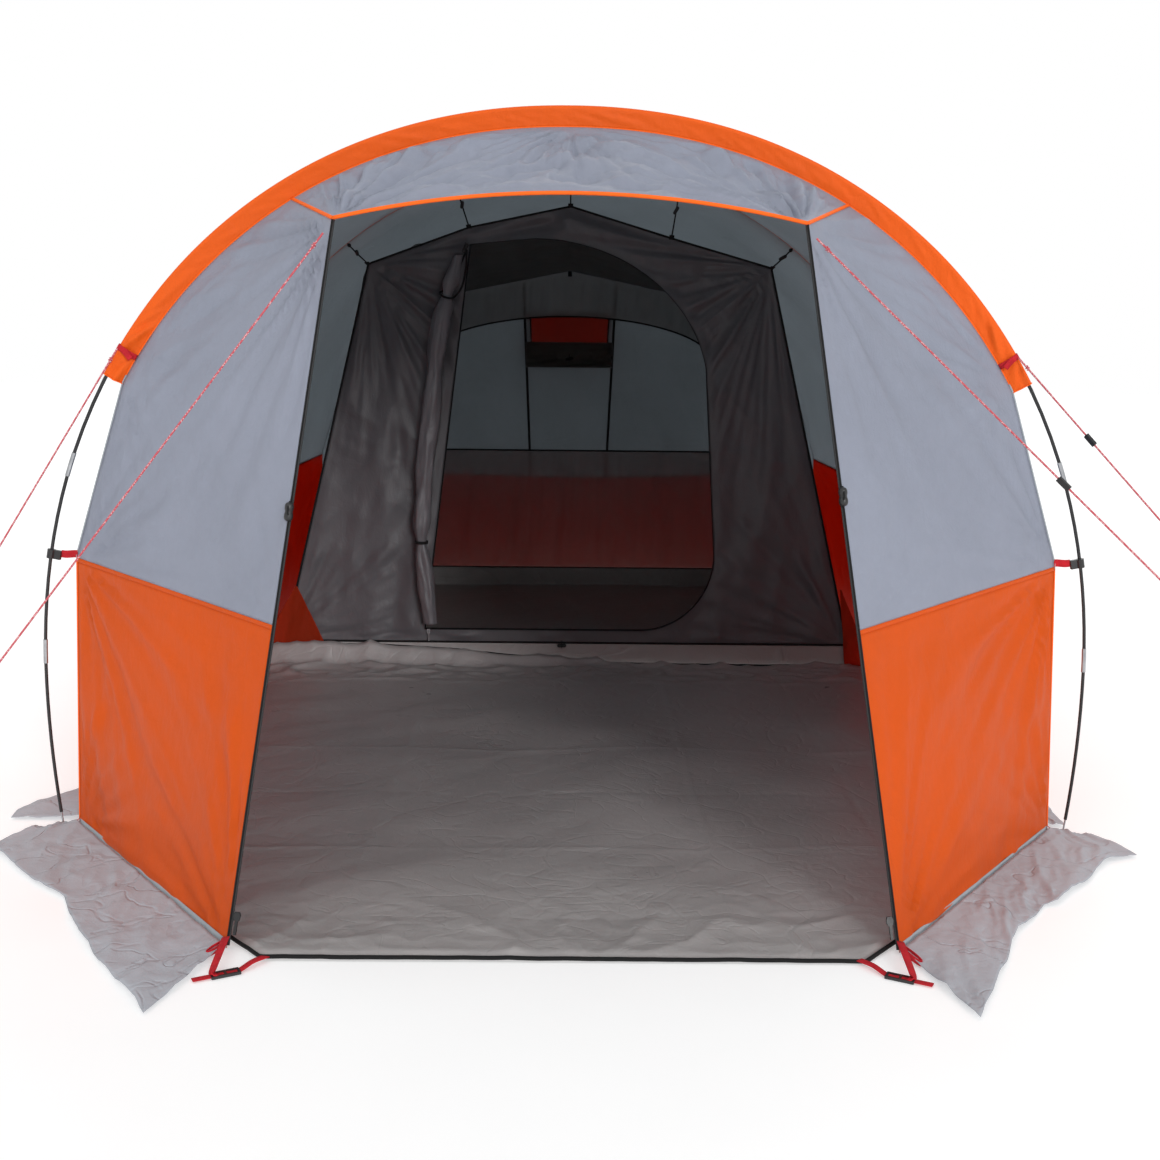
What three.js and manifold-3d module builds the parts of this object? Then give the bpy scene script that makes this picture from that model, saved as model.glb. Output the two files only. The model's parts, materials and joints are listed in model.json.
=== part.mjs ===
// A family tunnel tent with a porch: three pole hoops in sleeves, a flysheet sewn from grey and
// orange panels, mud flaps, an inner tent with a D-shaped door, a porch groundsheet, guylines and
// their hardware. Millimetres, +Z up. The origin is on the ground at the middle of the tent's box.
import * as THREE from "three";
import { mergeVertices } from "three/addons/utils/BufferGeometryUtils.js";
import Module from "manifold-3d";

const wasm = await Module();
wasm.setup();

// ---- Driving dimensions ----------------------------------------------------------------------

const CLOTH = 4; // thickness that each cloth panel is given
const SEAM_GAP = 3; // space left between neighbouring cloth panels
const PORCH_TIP = 1110; // how far the porch's mud flaps reach before the front hoop
const REAR_TIP = 4590; // how far the rear mud flap reaches behind the front hoop
const FRONT_Y = (PORCH_TIP - REAR_TIP) / 2; // the front hoop's place along the tent
const MID_Y = FRONT_Y + 1850;
const REAR_Y = FRONT_Y + 3750;

// A hoop is a superellipse above its knees. Below them its legs curve in towards the ground.
const HOOP_POWER = 2.13;
const KNEE_Z = 404;
const FOOT_LEAN = 26; // how far each foot stands inside its knee
const END_HOOP = { half: 1405, rise: 1505 };
const MID_HOOP = { half: 1463, rise: 1625 };
const FIN = 50; // how far the flysheet hangs inside the pole, along its sleeve
const LEG_INSET = { clip: 68, foot: 44 }; // and beside the bare legs, at the clip and the ground

const POLE_R = 4.75;
const FOOT_PIN = { radius: 2.6, top: 38 };
const FERRULE = { radius: 6.2, length: 65, pitch: 515, first: 457.5 };
const SLEEVE = { bore: 6.2, radius: 8.5, low: 1228 }; // low: height of its two ends
const PART_GAP = 0.4; // clearance between hard pieces that meet

const BAND_Z = 740; // height of the orange band at the hoops
const CLIP = { z: 755, high: 24, radius: 11, bore: 5.4, tab: 26 }; // on each leg of the front pole
const BAY_SAG = 30; // how far the cloth sags between two hoops
const HEM_Z = CLOTH / 2; // the hem's middle, so that the cloth rests on the ground

const DOOR = {
  bottom: { x: 740, y: -800 },
  top: { x: 548, y: -380, z: 1600 },
  rise: 62, // of the door's curved top edge
  bandZ: 685, // height of the orange band at the door
};
const CANOPY_X = 720; // where the canopy's side seams meet the front hoop

const REAR_BASE = { x: 1000, y: 4410 }; // the rear hem's corners, measured from the front hoop
const REAR_BAND_DROP = 150; // the rear wall's band is this much lower in the middle
const VENT = { half: 205, low: 1245, high: 1475 };
const HOOD = { hinge: 1500, half: 225, flare: 15, long: 300, open: 26, clear: 8 };

const FLAP_WIDTH = 200;
const NOTCH = 40; // half-width of the gap in a flap for a pole's foot
const FLAP_PAST_FOOT = 110; // how far the end flaps reach outside the end poles' feet

const INNER = {
  frontY: 1980,
  rearY: 4000,
  rearTopY: 3640,
  halfBottom: 1165,
  halfTop: 800,
  eaves: 1630,
  ridge: 1860,
  rearEaves: 1540,
  rearRidge: 1700,
  tubHigh: 105,
};

const GUY_R = 2;
const PEG = { length: 180, radius: 2.5, lean: 28, hook: 12 };
const RUNNER = { length: 34, width: 13, thick: 8, bore: 2.6 };

// ---- Materials -------------------------------------------------------------------------------

function finish(color, roughness, metalness = 0) {
  return new THREE.MeshStandardMaterial({ color, roughness, metalness });
}
const greyFly = finish(0x8e92a2, 0.6);
const orangeFly = finish(0xd8571b, 0.6);
const flapCloth = finish(0xa9a7ad, 0.5);
const groundCloth = finish(0x827d7c, 0.4);
const innerCloth = finish(0x2c2a2b, 0.8);
const redWebbing = finish(0xc3202a, 0.8);
const redCord = finish(0xc2434c, 0.8);
const blackPlastic = finish(0x141414, 0.5);
const fibreglass = finish(0x17191a, 0.35);
const ferruleSteel = finish(0xb9bcc0, 0.35, 0.9);

const tent = new THREE.Group();

function add(name, geometry, material, place) {
  const mesh = new THREE.Mesh(geometry, material);
  mesh.name = name;
  if (place) place(mesh);
  tent.add(mesh);
  return mesh;
}

// ---- Geometry helpers ------------------------------------------------------------------------

const lerp = THREE.MathUtils.lerp;
const at = (x, y, z) => new THREE.Vector3(x, y, z);

// A cloth panel: a closed shell around a grid of points.
// grid[row][column] holds the points, and skip says which cells are left open.
function clothShell(grid, skip = () => false) {
  const rows = grid.length;
  const columns = grid[0].length;
  const id = (r, c) => r * columns + c;
  const faces = [];
  for (let r = 0; r + 1 < rows; r++)
    for (let c = 0; c + 1 < columns; c++)
      if (!skip(r, c))
        faces.push(
          [id(r, c), id(r, c + 1), id(r + 1, c + 1)],
          [id(r, c), id(r + 1, c + 1), id(r + 1, c)],
        );
  return thicken(grid.flat(), faces);
}

// Gives an open surface of triangles the cloth's thickness: both skins and a rim along every free edge.
function thicken(points, faces) {
  const normals = points.map(() => at(0, 0, 0));
  for (const [a, b, c] of faces) {
    const n = points[b].clone().sub(points[a]).cross(points[c].clone().sub(points[a]));
    for (const i of [a, b, c]) normals[i].add(n);
  }
  const skin = (side) =>
    points.map((p, i) => p.clone().addScaledVector(normals[i].clone().normalize(), side));
  const all = [...skin(CLOTH / 2), ...skin(-CLOTH / 2)];
  const n = points.length;
  const triangles = [];
  const used = new Set();
  for (const [a, b, c] of faces) {
    triangles.push([a, b, c], [a + n, c + n, b + n]);
    for (const [i, j] of [[a, b], [b, c], [c, a]]) used.add(`${i},${j}`);
  }
  for (const edge of used) {
    const [i, j] = edge.split(",").map(Number);
    if (!used.has(`${j},${i}`)) triangles.push([j, i, i + n], [j, i + n, j + n]);
  }
  const geometry = new THREE.BufferGeometry().setFromPoints(all);
  geometry.setIndex(triangles.flat());
  return mergeVertices(geometry);
}

// A grid of points between two rows of points, in straight lines, with an optional sag.
function between(first, last, rows, shift = () => at(0, 0, 0)) {
  const grid = [];
  for (let r = 0; r <= rows; r++) {
    const v = r / rows;
    const across = (c) => c / (first.length - 1);
    grid.push(first.map((p, c) => p.clone().lerp(last[c], v).add(shift(v, across(c)))));
  }
  return grid;
}

function spaced(count, point) {
  return Array.from({ length: count + 1 }, (_, i) => point(i / count));
}

// The same grid with its first and last rows and columns pulled in by about a seam's gap.
function trimmed(grid, gap = SEAM_GAP) {
  const pull = (line) => {
    const out = line.map((p) => p.clone());
    const last = line.length - 1;
    out[0].addScaledVector(line[1].clone().sub(line[0]).normalize(), gap);
    out[last].addScaledVector(line[last - 1].clone().sub(line[last]).normalize(), gap);
    return out;
  };
  const flip = (g) => g[0].map((_, c) => g.map((row) => row[c]));
  return flip(flip(grid.map(pull)).map(pull));
}

function circle(radius, sides) {
  return Array.from({ length: sides }, (_, i) => {
    const a = (2 * Math.PI * i) / sides;
    return new THREE.Vector2(radius * Math.cos(a), radius * Math.sin(a));
  });
}

function rodAlong(curve, radius, steps, sides = 8) {
  return new THREE.ExtrudeGeometry(new THREE.Shape(circle(radius, sides)), {
    extrudePath: curve,
    steps,
  });
}

// A plate standing on z = 0, from an outline of [x, y] points.
function flatPlate(outline, thickness, holes = []) {
  const shape = new THREE.Shape(outline.map(([x, y]) => new THREE.Vector2(x, y)));
  shape.holes = holes.map((h) => new THREE.Path(h.map(([x, y]) => new THREE.Vector2(x, y))));
  return new THREE.ExtrudeGeometry(shape, { depth: thickness, bevelEnabled: false });
}

function solidOf(geometry) {
  const bare = geometry.clone();
  bare.deleteAttribute("normal");
  bare.deleteAttribute("uv");
  const merged = mergeVertices(bare);
  return new wasm.Manifold(
    new wasm.Mesh({
      numProp: 3,
      vertProperties: new Float32Array(merged.attributes.position.array),
      triVerts: new Uint32Array(merged.index.array),
    }),
  );
}

function geometryOf(solid) {
  const made = solid.getMesh();
  const geometry = new THREE.BufferGeometry();
  geometry.setAttribute("position", new THREE.BufferAttribute(made.vertProperties, 3));
  geometry.setIndex(new THREE.BufferAttribute(made.triVerts, 1));
  return geometry;
}

// Turns a mesh so that its own +Z points along a direction.
function aim(mesh, direction) {
  mesh.quaternion.setFromUnitVectors(at(0, 0, 1), direction.clone().normalize());
}

// ---- Hoops -----------------------------------------------------------------------------------

// A line over the tent, through points from its right foot to its left foot.
class Arch extends THREE.Curve {
  constructor(points) {
    super();
    this.line = points;
    this.at = [0];
    for (let i = 1; i < points.length; i++)
      this.at.push(this.at[i - 1] + points[i].distanceTo(points[i - 1]));
    this.long = this.at.at(-1);
  }
  // The point at a length from the right foot.
  along(length) {
    const s = THREE.MathUtils.clamp(length, 0, this.long);
    const i = Math.max(this.at.findIndex((a) => a >= s), 1);
    const t = (s - this.at[i - 1]) / (this.at[i] - this.at[i - 1]);
    return this.line[i - 1].clone().lerp(this.line[i], t);
  }
  getPoint(t, target = at(0, 0, 0)) {
    return target.copy(this.along(t * this.long));
  }
  // The length from the right foot to where the line first reaches a height.
  lengthTo(z) {
    const i = this.line.findIndex((p) => p.z >= z);
    const share = (z - this.line[i - 1].z) / (this.line[i].z - this.line[i - 1].z);
    return lerp(this.at[i - 1], this.at[i], share);
  }
  atHeight(z) {
    return this.along(this.lengthTo(z));
  }
  // A stretch of the line as a curve of its own.
  part(from, to) {
    const whole = this;
    const made = new THREE.Curve();
    made.getPoint = (t, target = at(0, 0, 0)) => target.copy(whole.along(lerp(from, to, t)));
    return made;
  }
}

function poleArch({ half, rise }, y) {
  const leg = (side) => spaced(8, (t) => at(side * (half - FOOT_LEAN * t * t), y, KNEE_Z * (1 - t)));
  const top = spaced(400, (t) => {
    const a = t * Math.PI;
    const c = Math.cos(a);
    const x = half * Math.sign(c) * Math.abs(c) ** (2 / HOOP_POWER);
    return at(x, y, KNEE_Z + rise * Math.sin(a) ** (2 / HOOP_POWER));
  });
  return new Arch([...leg(1).slice(1).reverse(), ...top, ...leg(-1).slice(1)]);
}

// The flysheet's seam inside a pole. It keeps to the sleeve, and below the sleeve it is pulled
// straight to the pole's clip and from there straight to the ground.
function seamArch(pole) {
  const { line } = pole;
  const underSleeve = line
    .map((p, i) => {
      const along = line[Math.min(i + 1, line.length - 1)].clone().sub(line[Math.max(i - 1, 0)]);
      return p.clone().addScaledVector(at(-along.z, 0, along.x).normalize(), FIN);
    })
    .filter((_, i) => line[i].z >= SLEEVE.low);
  const leg = [
    line[0].clone().sub(at(LEG_INSET.foot, 0, 0)),
    pole.atHeight(CLIP.z).sub(at(LEG_INSET.clip, 0, 0)),
  ];
  const mirrored = [...leg].reverse().map((p) => at(-p.x, p.y, p.z));
  return new Arch([...leg, ...underSleeve, ...mirrored]);
}

const frontPole = poleArch(END_HOOP, FRONT_Y);
const midPole = poleArch(MID_HOOP, MID_Y);
const rearPole = poleArch(END_HOOP, REAR_Y);

// Where the flysheet's hem crosses a hoop on the ground.
const hemX = ({ half }) => half - FOOT_LEAN - LEG_INSET.foot;

// The front pole's sections, with a ferrule at each joint near the ground and a pin in each foot.
function frontPoleSections() {
  const long = frontPole.long;
  const low = FERRULE.first;
  const high = low + FERRULE.pitch;
  const stretch = (name, from, to, steps, material = fibreglass, radius = POLE_R) => {
    for (const side of ["right", "left"]) {
      const [a, b] = side === "right" ? [from, to] : [long - to, long - from];
      const label = name.replace("SIDE", side);
      add(label, rodAlong(frontPole.part(a, b), radius, steps), material);
    }
  };
  stretch("front_SIDE_foot_pin", 0, FOOT_PIN.top, 1, ferruleSteel, FOOT_PIN.radius);
  stretch("front_pole_SIDE_foot_section", FOOT_PIN.top + PART_GAP, low - PART_GAP, 8);
  stretch("front_SIDE_low_ferrule", low, low + FERRULE.length, 2, ferruleSteel, FERRULE.radius);
  stretch("front_pole_SIDE_second_section", low + FERRULE.length + PART_GAP, high - PART_GAP, 8);
  stretch("front_SIDE_high_ferrule", high, high + FERRULE.length, 2, ferruleSteel, FERRULE.radius);
  const start = high + FERRULE.length + PART_GAP;
  add("front_pole_arch", rodAlong(frontPole.part(start, long - start), POLE_R, 48), fibreglass);
}

// A sleeve: a round tunnel for the pole with a flat fin that joins it to the flysheet.
function sleeve(hoop) {
  const { bore, radius, low } = SLEEVE;
  const end = hoop.lengthTo(low);
  const finHalf = CLOTH / 2;
  const reach = Math.sqrt(radius * radius - finHalf * finHalf);
  const inner = -(FIN - CLOTH - SEAM_GAP);
  const start = Math.atan2(-reach, finHalf);
  const sweep = 2 * Math.PI - 2 * (Math.PI / 2 + start);
  const rim = spaced(8, (t) => {
    const a = start + t * sweep;
    return new THREE.Vector2(radius * Math.cos(a), radius * Math.sin(a));
  });
  const outline = [...rim, new THREE.Vector2(-finHalf, inner), new THREE.Vector2(finHalf, inner)];
  const shape = new THREE.Shape(outline);
  shape.holes = [new THREE.Path(circle(bore, 8))];
  return new THREE.ExtrudeGeometry(shape, {
    extrudePath: hoop.part(end, hoop.long - end),
    steps: 40,
  });
}

frontPoleSections();
add("mid_pole", rodAlong(midPole, POLE_R, 60), fibreglass);
add("rear_pole", rodAlong(rearPole, POLE_R, 60), fibreglass);
add("front_pole_sleeve", sleeve(frontPole), orangeFly);
add("mid_pole_sleeve", sleeve(midPole), orangeFly);
add("rear_pole_sleeve", sleeve(rearPole), orangeFly);

// ---- Flysheet --------------------------------------------------------------------------------

const frontSeam = seamArch(frontPole);
const midSeam = seamArch(midPole);
const rearSeam = seamArch(rearPole);

// Points along a seam's roof, between the tops of the two orange bands.
function roofLine(seam, count) {
  const low = seam.lengthTo(BAND_Z);
  return spaced(count, (t) => seam.along(lerp(low, seam.long - low, t)));
}

// Points up one side of a seam, from the ground to the top of the orange band. side is 1 or -1.
function bandLine(seam, side, count) {
  return spaced(count, (t) => {
    const p = seam.along(lerp(0, seam.lengthTo(BAND_Z), t));
    return at(side * p.x, p.y, p.z);
  });
}

// Cloth sags towards the middle of the tunnel between two hoops, most on the roof.
function tunnelSag(v, u) {
  const sag = BAY_SAG * Math.sin(Math.PI * v);
  const angle = Math.PI * u;
  return at(-sag * Math.cos(angle), 0, -sag * Math.sin(angle));
}

const ROOF_COLUMNS = 26;
function bayRoof(first, last) {
  const rows = between(roofLine(first, ROOF_COLUMNS), roofLine(last, ROOF_COLUMNS), 4, tunnelSag);
  return clothShell(trimmed(rows));
}
add("front_bay_roof", bayRoof(frontSeam, midSeam), greyFly);
add("rear_bay_roof", bayRoof(midSeam, rearSeam), greyFly);

// The orange band along one side of the tunnel, from the front hoop to the rear hoop.
function lowerWall(side) {
  const sag = (v) => at(-side * BAY_SAG * Math.sin(Math.PI * v) * 0.5, 0, 0);
  const [a, b, c] = [frontSeam, midSeam, rearSeam].map((seam) => bandLine(seam, side, 4));
  const rows = [...between(a, b, 4, sag), ...between(b, c, 4, sag).slice(1)];
  const made = trimmed(rows);
  made.forEach((row) => {
    row[0].z = HEM_Z;
  });
  return clothShell(side > 0 ? made : made.map((row) => [...row].reverse()));
}
add("right_lower_wall", lowerWall(1), orangeFly);
add("left_lower_wall", lowerWall(-1), orangeFly);

// The porch: two side walls from the front hoop to the door's edges, and a canopy over the door.
function doorEdge(side, z) {
  const t = z / DOOR.top.z;
  return at(
    side * lerp(DOOR.bottom.x, DOOR.top.x, t),
    FRONT_Y + lerp(DOOR.bottom.y, DOOR.top.y, t),
    z,
  );
}
const canopyStart = frontSeam.at[frontSeam.line.findIndex((p) => p.z > BAND_Z && p.x <= CANOPY_X)];

function porchUpper(side) {
  const low = frontSeam.lengthTo(BAND_Z);
  const hoopSide = spaced(10, (t) => {
    const p = frontSeam.along(lerp(low, canopyStart, t));
    return at(side * p.x, p.y, p.z);
  });
  const doorSide = spaced(10, (t) => doorEdge(side, lerp(DOOR.bandZ, DOOR.top.z, t)));
  return clothShell(trimmed(between(hoopSide, doorSide, 4), SEAM_GAP + CLOTH));
}

function porchLower(side) {
  const hoopSide = bandLine(frontSeam, side, 4);
  const doorSide = spaced(4, (t) => doorEdge(side, lerp(0, DOOR.bandZ, t)));
  const made = trimmed(between(hoopSide, doorSide, 4), SEAM_GAP + CLOTH);
  made.forEach((row) => {
    row[0].z = HEM_Z;
  });
  return clothShell(made);
}

function doorTop(t) {
  const x = lerp(DOOR.top.x, -DOOR.top.x, t);
  const rise = DOOR.rise * 4 * t * (1 - t);
  return at(x, FRONT_Y + DOOR.top.y, DOOR.top.z + rise);
}

function canopy() {
  const long = frontSeam.long;
  const hoopSide = spaced(16, (t) => frontSeam.along(lerp(canopyStart, long - canopyStart, t)));
  return clothShell(trimmed(between(hoopSide, spaced(16, doorTop), 3), SEAM_GAP + CLOTH));
}

for (const [name, side] of [["right", 1], ["left", -1]]) {
  add(`${name}_porch_upper_wall`, porchUpper(side), greyFly);
  add(`${name}_porch_lower_wall`, porchLower(side), orangeFly);
}
add("porch_canopy", canopy(), greyFly);

// The rear wall runs in straight lines from the rear hoop to a hem with two corners.
function rearHem(t) {
  const foot = rearSeam.line[0];
  const corner = at(REAR_BASE.x, FRONT_Y + REAR_BASE.y, 0);
  const share = 0.25; // of the hem, from a pole's foot to the corner
  const s = t < 0.5 ? t : 1 - t;
  const p =
    s < share
      ? foot.clone().lerp(corner, s / share)
      : corner.clone().lerp(at(0, corner.y, 0), (s - share) / (0.5 - share));
  return at(t < 0.5 ? p.x : -p.x, p.y, p.z);
}

// A point of the rear wall, across from 0 to 1, at a share of the way up from the hem.
function rearWallPoint(u, share) {
  const low = rearSeam.lengthTo(20); // the wall's top starts just above the ground
  return rearHem(u).lerp(rearSeam.along(lerp(low, rearSeam.long - low, u)), share);
}

// The share of the way up at which the rear wall reaches a height. Near the poles the hoop itself is
// lower than the band, so the share stops at the top.
function rearShare(u, z) {
  return Math.min(z / rearWallPoint(u, 1).z, 1);
}

function rearBandShare(u) {
  return rearShare(u, BAND_Z - REAR_BAND_DROP * Math.sin(Math.PI * u));
}

// The share across the rear wall at which it is a given x from the middle, halfway up the vent.
function ventColumn(x) {
  const z = (VENT.low + VENT.high) / 2;
  let [outside, inside] = [0.35, 0.5];
  for (let i = 0; i < 40; i++) {
    const middle = (outside + inside) / 2;
    if (rearWallPoint(middle, rearShare(middle, z)).x > x) outside = middle;
    else inside = middle;
  }
  return outside;
}

function rearUpper() {
  const edge = ventColumn(VENT.half);
  const corner = 0.25;
  const half = [...spaced(6, (t) => lerp(0.17, 0.41, t)), edge, 0.5];
  const columns = [...half, ...half.slice(0, -1).reverse().map((u) => 1 - u)];
  // Near the middle a row follows the vent's edge, and towards the sides the rows spread evenly.
  const ventRow = (z, evenShare) => (u) => {
    const even = lerp(rearBandShare(u), 1, evenShare);
    const near = THREE.MathUtils.smoothstep(Math.min(u, 1 - u), corner, edge);
    return lerp(even, rearShare(u, z), near);
  };
  const levels = [
    rearBandShare,
    (u) => lerp(rearBandShare(u), 1, 0.25),
    ventRow(VENT.low, 0.5),
    ventRow(VENT.high, 0.75),
    () => 1,
  ];
  const grid = levels.map((level) => columns.map((u) => rearWallPoint(u, level(u))));
  const ventStart = columns.indexOf(edge);
  const ventEnd = columns.length - 1 - ventStart;
  const open = (r, c) => r === 2 && c >= ventStart && c < ventEnd;
  return clothShell(trimmed(grid, SEAM_GAP + CLOTH), open);
}

function rearLower() {
  const columns = spaced(20, (t) => lerp(0.01, 0.99, t));
  const reach = 0.985; // of the way up to the band, to leave room for the seam
  const grid = spaced(3, (v) => columns.map((u) => rearWallPoint(u, v * reach * rearBandShare(u))));
  const made = trimmed(grid, SEAM_GAP + CLOTH);
  made[0].forEach((p) => {
    p.z = HEM_Z;
  });
  return clothShell(made);
}
add("rear_wall_upper", rearUpper(), greyFly);
add("rear_wall_lower", rearLower(), orangeFly);

// The vent's hood is a flat flap hinged along its top edge, propped open.
function ventHood() {
  const wallFoot = rearWallPoint(0.5, 0);
  const wallTop = rearWallPoint(0.5, 1);
  const hinge = wallFoot.clone().lerp(wallTop, HOOD.hinge / wallTop.z);
  const slope = Math.atan2(wallFoot.y - wallTop.y, wallTop.z);
  const { half, flare, long } = HOOD;
  const outline = [[-half, 0], [half, 0], [half + flare, -long], [-half - flare, -long]];
  add("vent_hood", flatPlate(outline, CLOTH), orangeFly, (mesh) => {
    mesh.position.set(0, hinge.y + HOOD.clear, hinge.z);
    mesh.rotation.x = Math.PI / 2 + slope + THREE.MathUtils.degToRad(HOOD.open);
  });
}
ventHood();

// ---- Mud flaps -------------------------------------------------------------------------------

function sideFlap(side) {
  const y0 = FRONT_Y + NOTCH;
  const y1 = REAR_Y - NOTCH;
  const inner = (y) => {
    const toMid = Math.abs(y - MID_Y) / (MID_Y - FRONT_Y);
    return lerp(hemX(MID_HOOP), hemX(END_HOOP), Math.min(toMid, 1)) + CLOTH + SEAM_GAP;
  };
  const outer = (y) => inner(y) + FLAP_WIDTH;
  const notchIn = MID_HOOP.half - FOOT_LEAN - 15;
  const outline = [
    [inner(y0), y0],
    [inner(MID_Y - NOTCH), MID_Y - NOTCH],
    [inner(MID_Y), MID_Y],
    [inner(MID_Y + NOTCH), MID_Y + NOTCH],
    [inner(y1), y1],
    [outer(y1), y1],
    [outer(MID_Y + NOTCH), MID_Y + NOTCH],
    [notchIn, MID_Y + NOTCH / 2],
    [notchIn, MID_Y - NOTCH / 2],
    [outer(MID_Y - NOTCH), MID_Y - NOTCH],
    [outer(y0), y0],
  ].map(([x, y]) => [side * x, y]);
  return flatPlate(outline, CLOTH);
}

function porchFlap(side) {
  const corner = [DOOR.bottom.x, FRONT_Y + DOOR.bottom.y];
  const foot = [hemX(END_HOOP), FRONT_Y];
  const run = Math.hypot(foot[0] - corner[0], foot[1] - corner[1]);
  const out = [-(corner[1] - foot[1]) / run, (corner[0] - foot[0]) / run];
  const offset = ([x, y], far) => [x + out[0] * far, y + out[1] * far];
  const clear = CLOTH + SEAM_GAP;
  const outline = [
    offset(corner, clear),
    offset(foot, clear),
    [END_HOOP.half + FLAP_PAST_FOOT / 2, FRONT_Y - NOTCH],
    [END_HOOP.half + FLAP_PAST_FOOT, FRONT_Y - 190],
    [DOOR.bottom.x + 115, FRONT_Y - PORCH_TIP],
  ].map(([x, y]) => [side * x, y]);
  return flatPlate(outline, CLOTH);
}

function rearFlap() {
  const clear = CLOTH + SEAM_GAP + 2;
  const hem = REAR_BASE.y + FRONT_Y + clear;
  const edge = REAR_TIP + FRONT_Y;
  const foot = [hemX(END_HOOP) + clear, REAR_Y + NOTCH];
  const half = [
    [REAR_BASE.x + 8, hem],
    foot,
    [END_HOOP.half + FLAP_PAST_FOOT, REAR_Y + NOTCH],
    [REAR_BASE.x + 130, edge],
  ];
  const mirrored = [...half].reverse().map(([x, y]) => [-x, y]);
  return flatPlate([...half, ...mirrored], CLOTH);
}

for (const [name, side] of [["right", 1], ["left", -1]]) {
  add(`${name}_porch_mud_flap`, porchFlap(side), flapCloth);
  add(`${name}_mud_flap`, sideFlap(side), flapCloth);
}
add("rear_mud_flap", rearFlap(), flapCloth);

// ---- Inner tent ------------------------------------------------------------------------------

const innerFront = FRONT_Y + INNER.frontY;
const innerRear = FRONT_Y + INNER.rearY;
const innerRearTop = FRONT_Y + INNER.rearTopY;

// The D-shaped doorway: a straight hinge side on the left, and a curved top and lower corner.
function innerDoorway() {
  const outline = [];
  const arc = (cx, cz, rx, rz, from, to, count) =>
    spaced(count, (t) => {
      const a = THREE.MathUtils.degToRad(lerp(from, to, t));
      return [cx + rx * Math.cos(a), cz + rz * Math.sin(a)];
    });
  outline.push([-585, 160]);
  outline.push(...arc(300, 470, 300, 310, -90, 0, 6));
  outline.push(...arc(-140, 1130, 700, 605, 10, 90, 8));
  outline.push([-395, 1710]);
  return outline;
}

// A panel drawn across the tent, x to the right and z up, standing at y.
function standUp(geometry, y) {
  geometry.rotateX(Math.PI / 2);
  geometry.translate(0, y + CLOTH, 0);
  return geometry;
}

function innerFrontWall() {
  const low = INNER.tubHigh + SEAM_GAP;
  const outline = [
    [-INNER.halfBottom, low],
    [INNER.halfBottom, low],
    [INNER.halfTop, INNER.eaves],
    [0, INNER.ridge],
    [-INNER.halfTop, INNER.eaves],
  ];
  return standUp(flatPlate(outline, CLOTH, [innerDoorway()]), innerFront);
}

// The inner tent's outline across, at a share of the way back: both walls and the two roof slopes.
// The walls' ends lean with the rear wall.
function innerSection(v) {
  const ridge = lerp(INNER.ridge, INNER.rearRidge, v);
  const eaves = lerp(INNER.eaves, INNER.rearEaves, v);
  const low = INNER.tubHigh + SEAM_GAP;
  const half = [
    [INNER.halfBottom, low],
    [lerp(INNER.halfBottom, INNER.halfTop, 0.5), lerp(low, eaves, 0.5)],
    [INNER.halfTop, eaves],
    [INNER.halfTop * 0.5, lerp(eaves, ridge, 0.5)],
    [0, ridge],
  ];
  const y = (z) => {
    const back = lerp(innerRear, innerRearTop, (z - low) / (INNER.rearRidge - low));
    return lerp(innerFront + CLOTH + SEAM_GAP, back - CLOTH - SEAM_GAP, v);
  };
  const whole = [...half, ...half.slice(0, -1).reverse().map(([x, z]) => [-x, z])];
  return whole.map(([x, z]) => at(x, y(z), z));
}

function innerCanopy() {
  return clothShell(spaced(3, innerSection));
}

function innerRearWall() {
  const low = INNER.tubHigh + SEAM_GAP;
  const lean = Math.hypot(innerRear - innerRearTop, INNER.rearRidge - low);
  const stretch = lean / (INNER.rearRidge - low);
  const up = (z) => (z - low) * stretch;
  const outline = [
    [-INNER.halfBottom, 0],
    [INNER.halfBottom, 0],
    [INNER.halfTop, up(INNER.rearEaves)],
    [0, up(INNER.rearRidge)],
    [-INNER.halfTop, up(INNER.rearEaves)],
  ];
  const panel = flatPlate(outline, CLOTH);
  panel.rotateX(Math.PI / 2 + Math.atan2(innerRear - innerRearTop, INNER.rearRidge - low));
  panel.translate(0, innerRear + CLOTH, low);
  return panel;
}

// The floor is a shallow tub of coated cloth, hollowed out of a block.
function innerFloor() {
  const [width, length] = [2 * INNER.halfBottom, innerRear - innerFront];
  const wall = CLOTH + 1;
  const outer = new THREE.BoxGeometry(width, length, INNER.tubHigh);
  const inner = new THREE.BoxGeometry(width - 2 * wall, length - 2 * wall, INNER.tubHigh);
  outer.translate(0, 0, INNER.tubHigh / 2);
  inner.translate(0, 0, INNER.tubHigh / 2 + wall);
  const tub = geometryOf(solidOf(outer).subtract(solidOf(inner)));
  tub.translate(0, (innerFront + innerRear) / 2, 0);
  return tub;
}

// The open door, rolled up and tied beside the doorway.
function innerDoorRoll() {
  const top = at(-445, innerFront - 55, 1670);
  const foot = at(-600, innerFront - 55, 175);
  const long = top.distanceTo(foot);
  const roll = [[0, 0], [30, 0], [44, 60], [46, long * 0.6], [34, long - 40], [18, long], [0, long]];
  const profile = roll.map(([r, h]) => new THREE.Vector2(r, h));
  add("inner_door_roll", new THREE.LatheGeometry(profile, 12), innerCloth, (mesh) => {
    mesh.position.copy(foot);
    mesh.quaternion.setFromUnitVectors(at(0, 1, 0), top.clone().sub(foot).normalize());
  });
}

add("inner_front_wall", innerFrontWall(), innerCloth);
add("inner_canopy", innerCanopy(), innerCloth);
add("inner_rear_wall", innerRearWall(), innerCloth);
add("inner_floor", innerFloor(), groundCloth);
innerDoorRoll();

// ---- Porch groundsheet -----------------------------------------------------------------------

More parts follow.
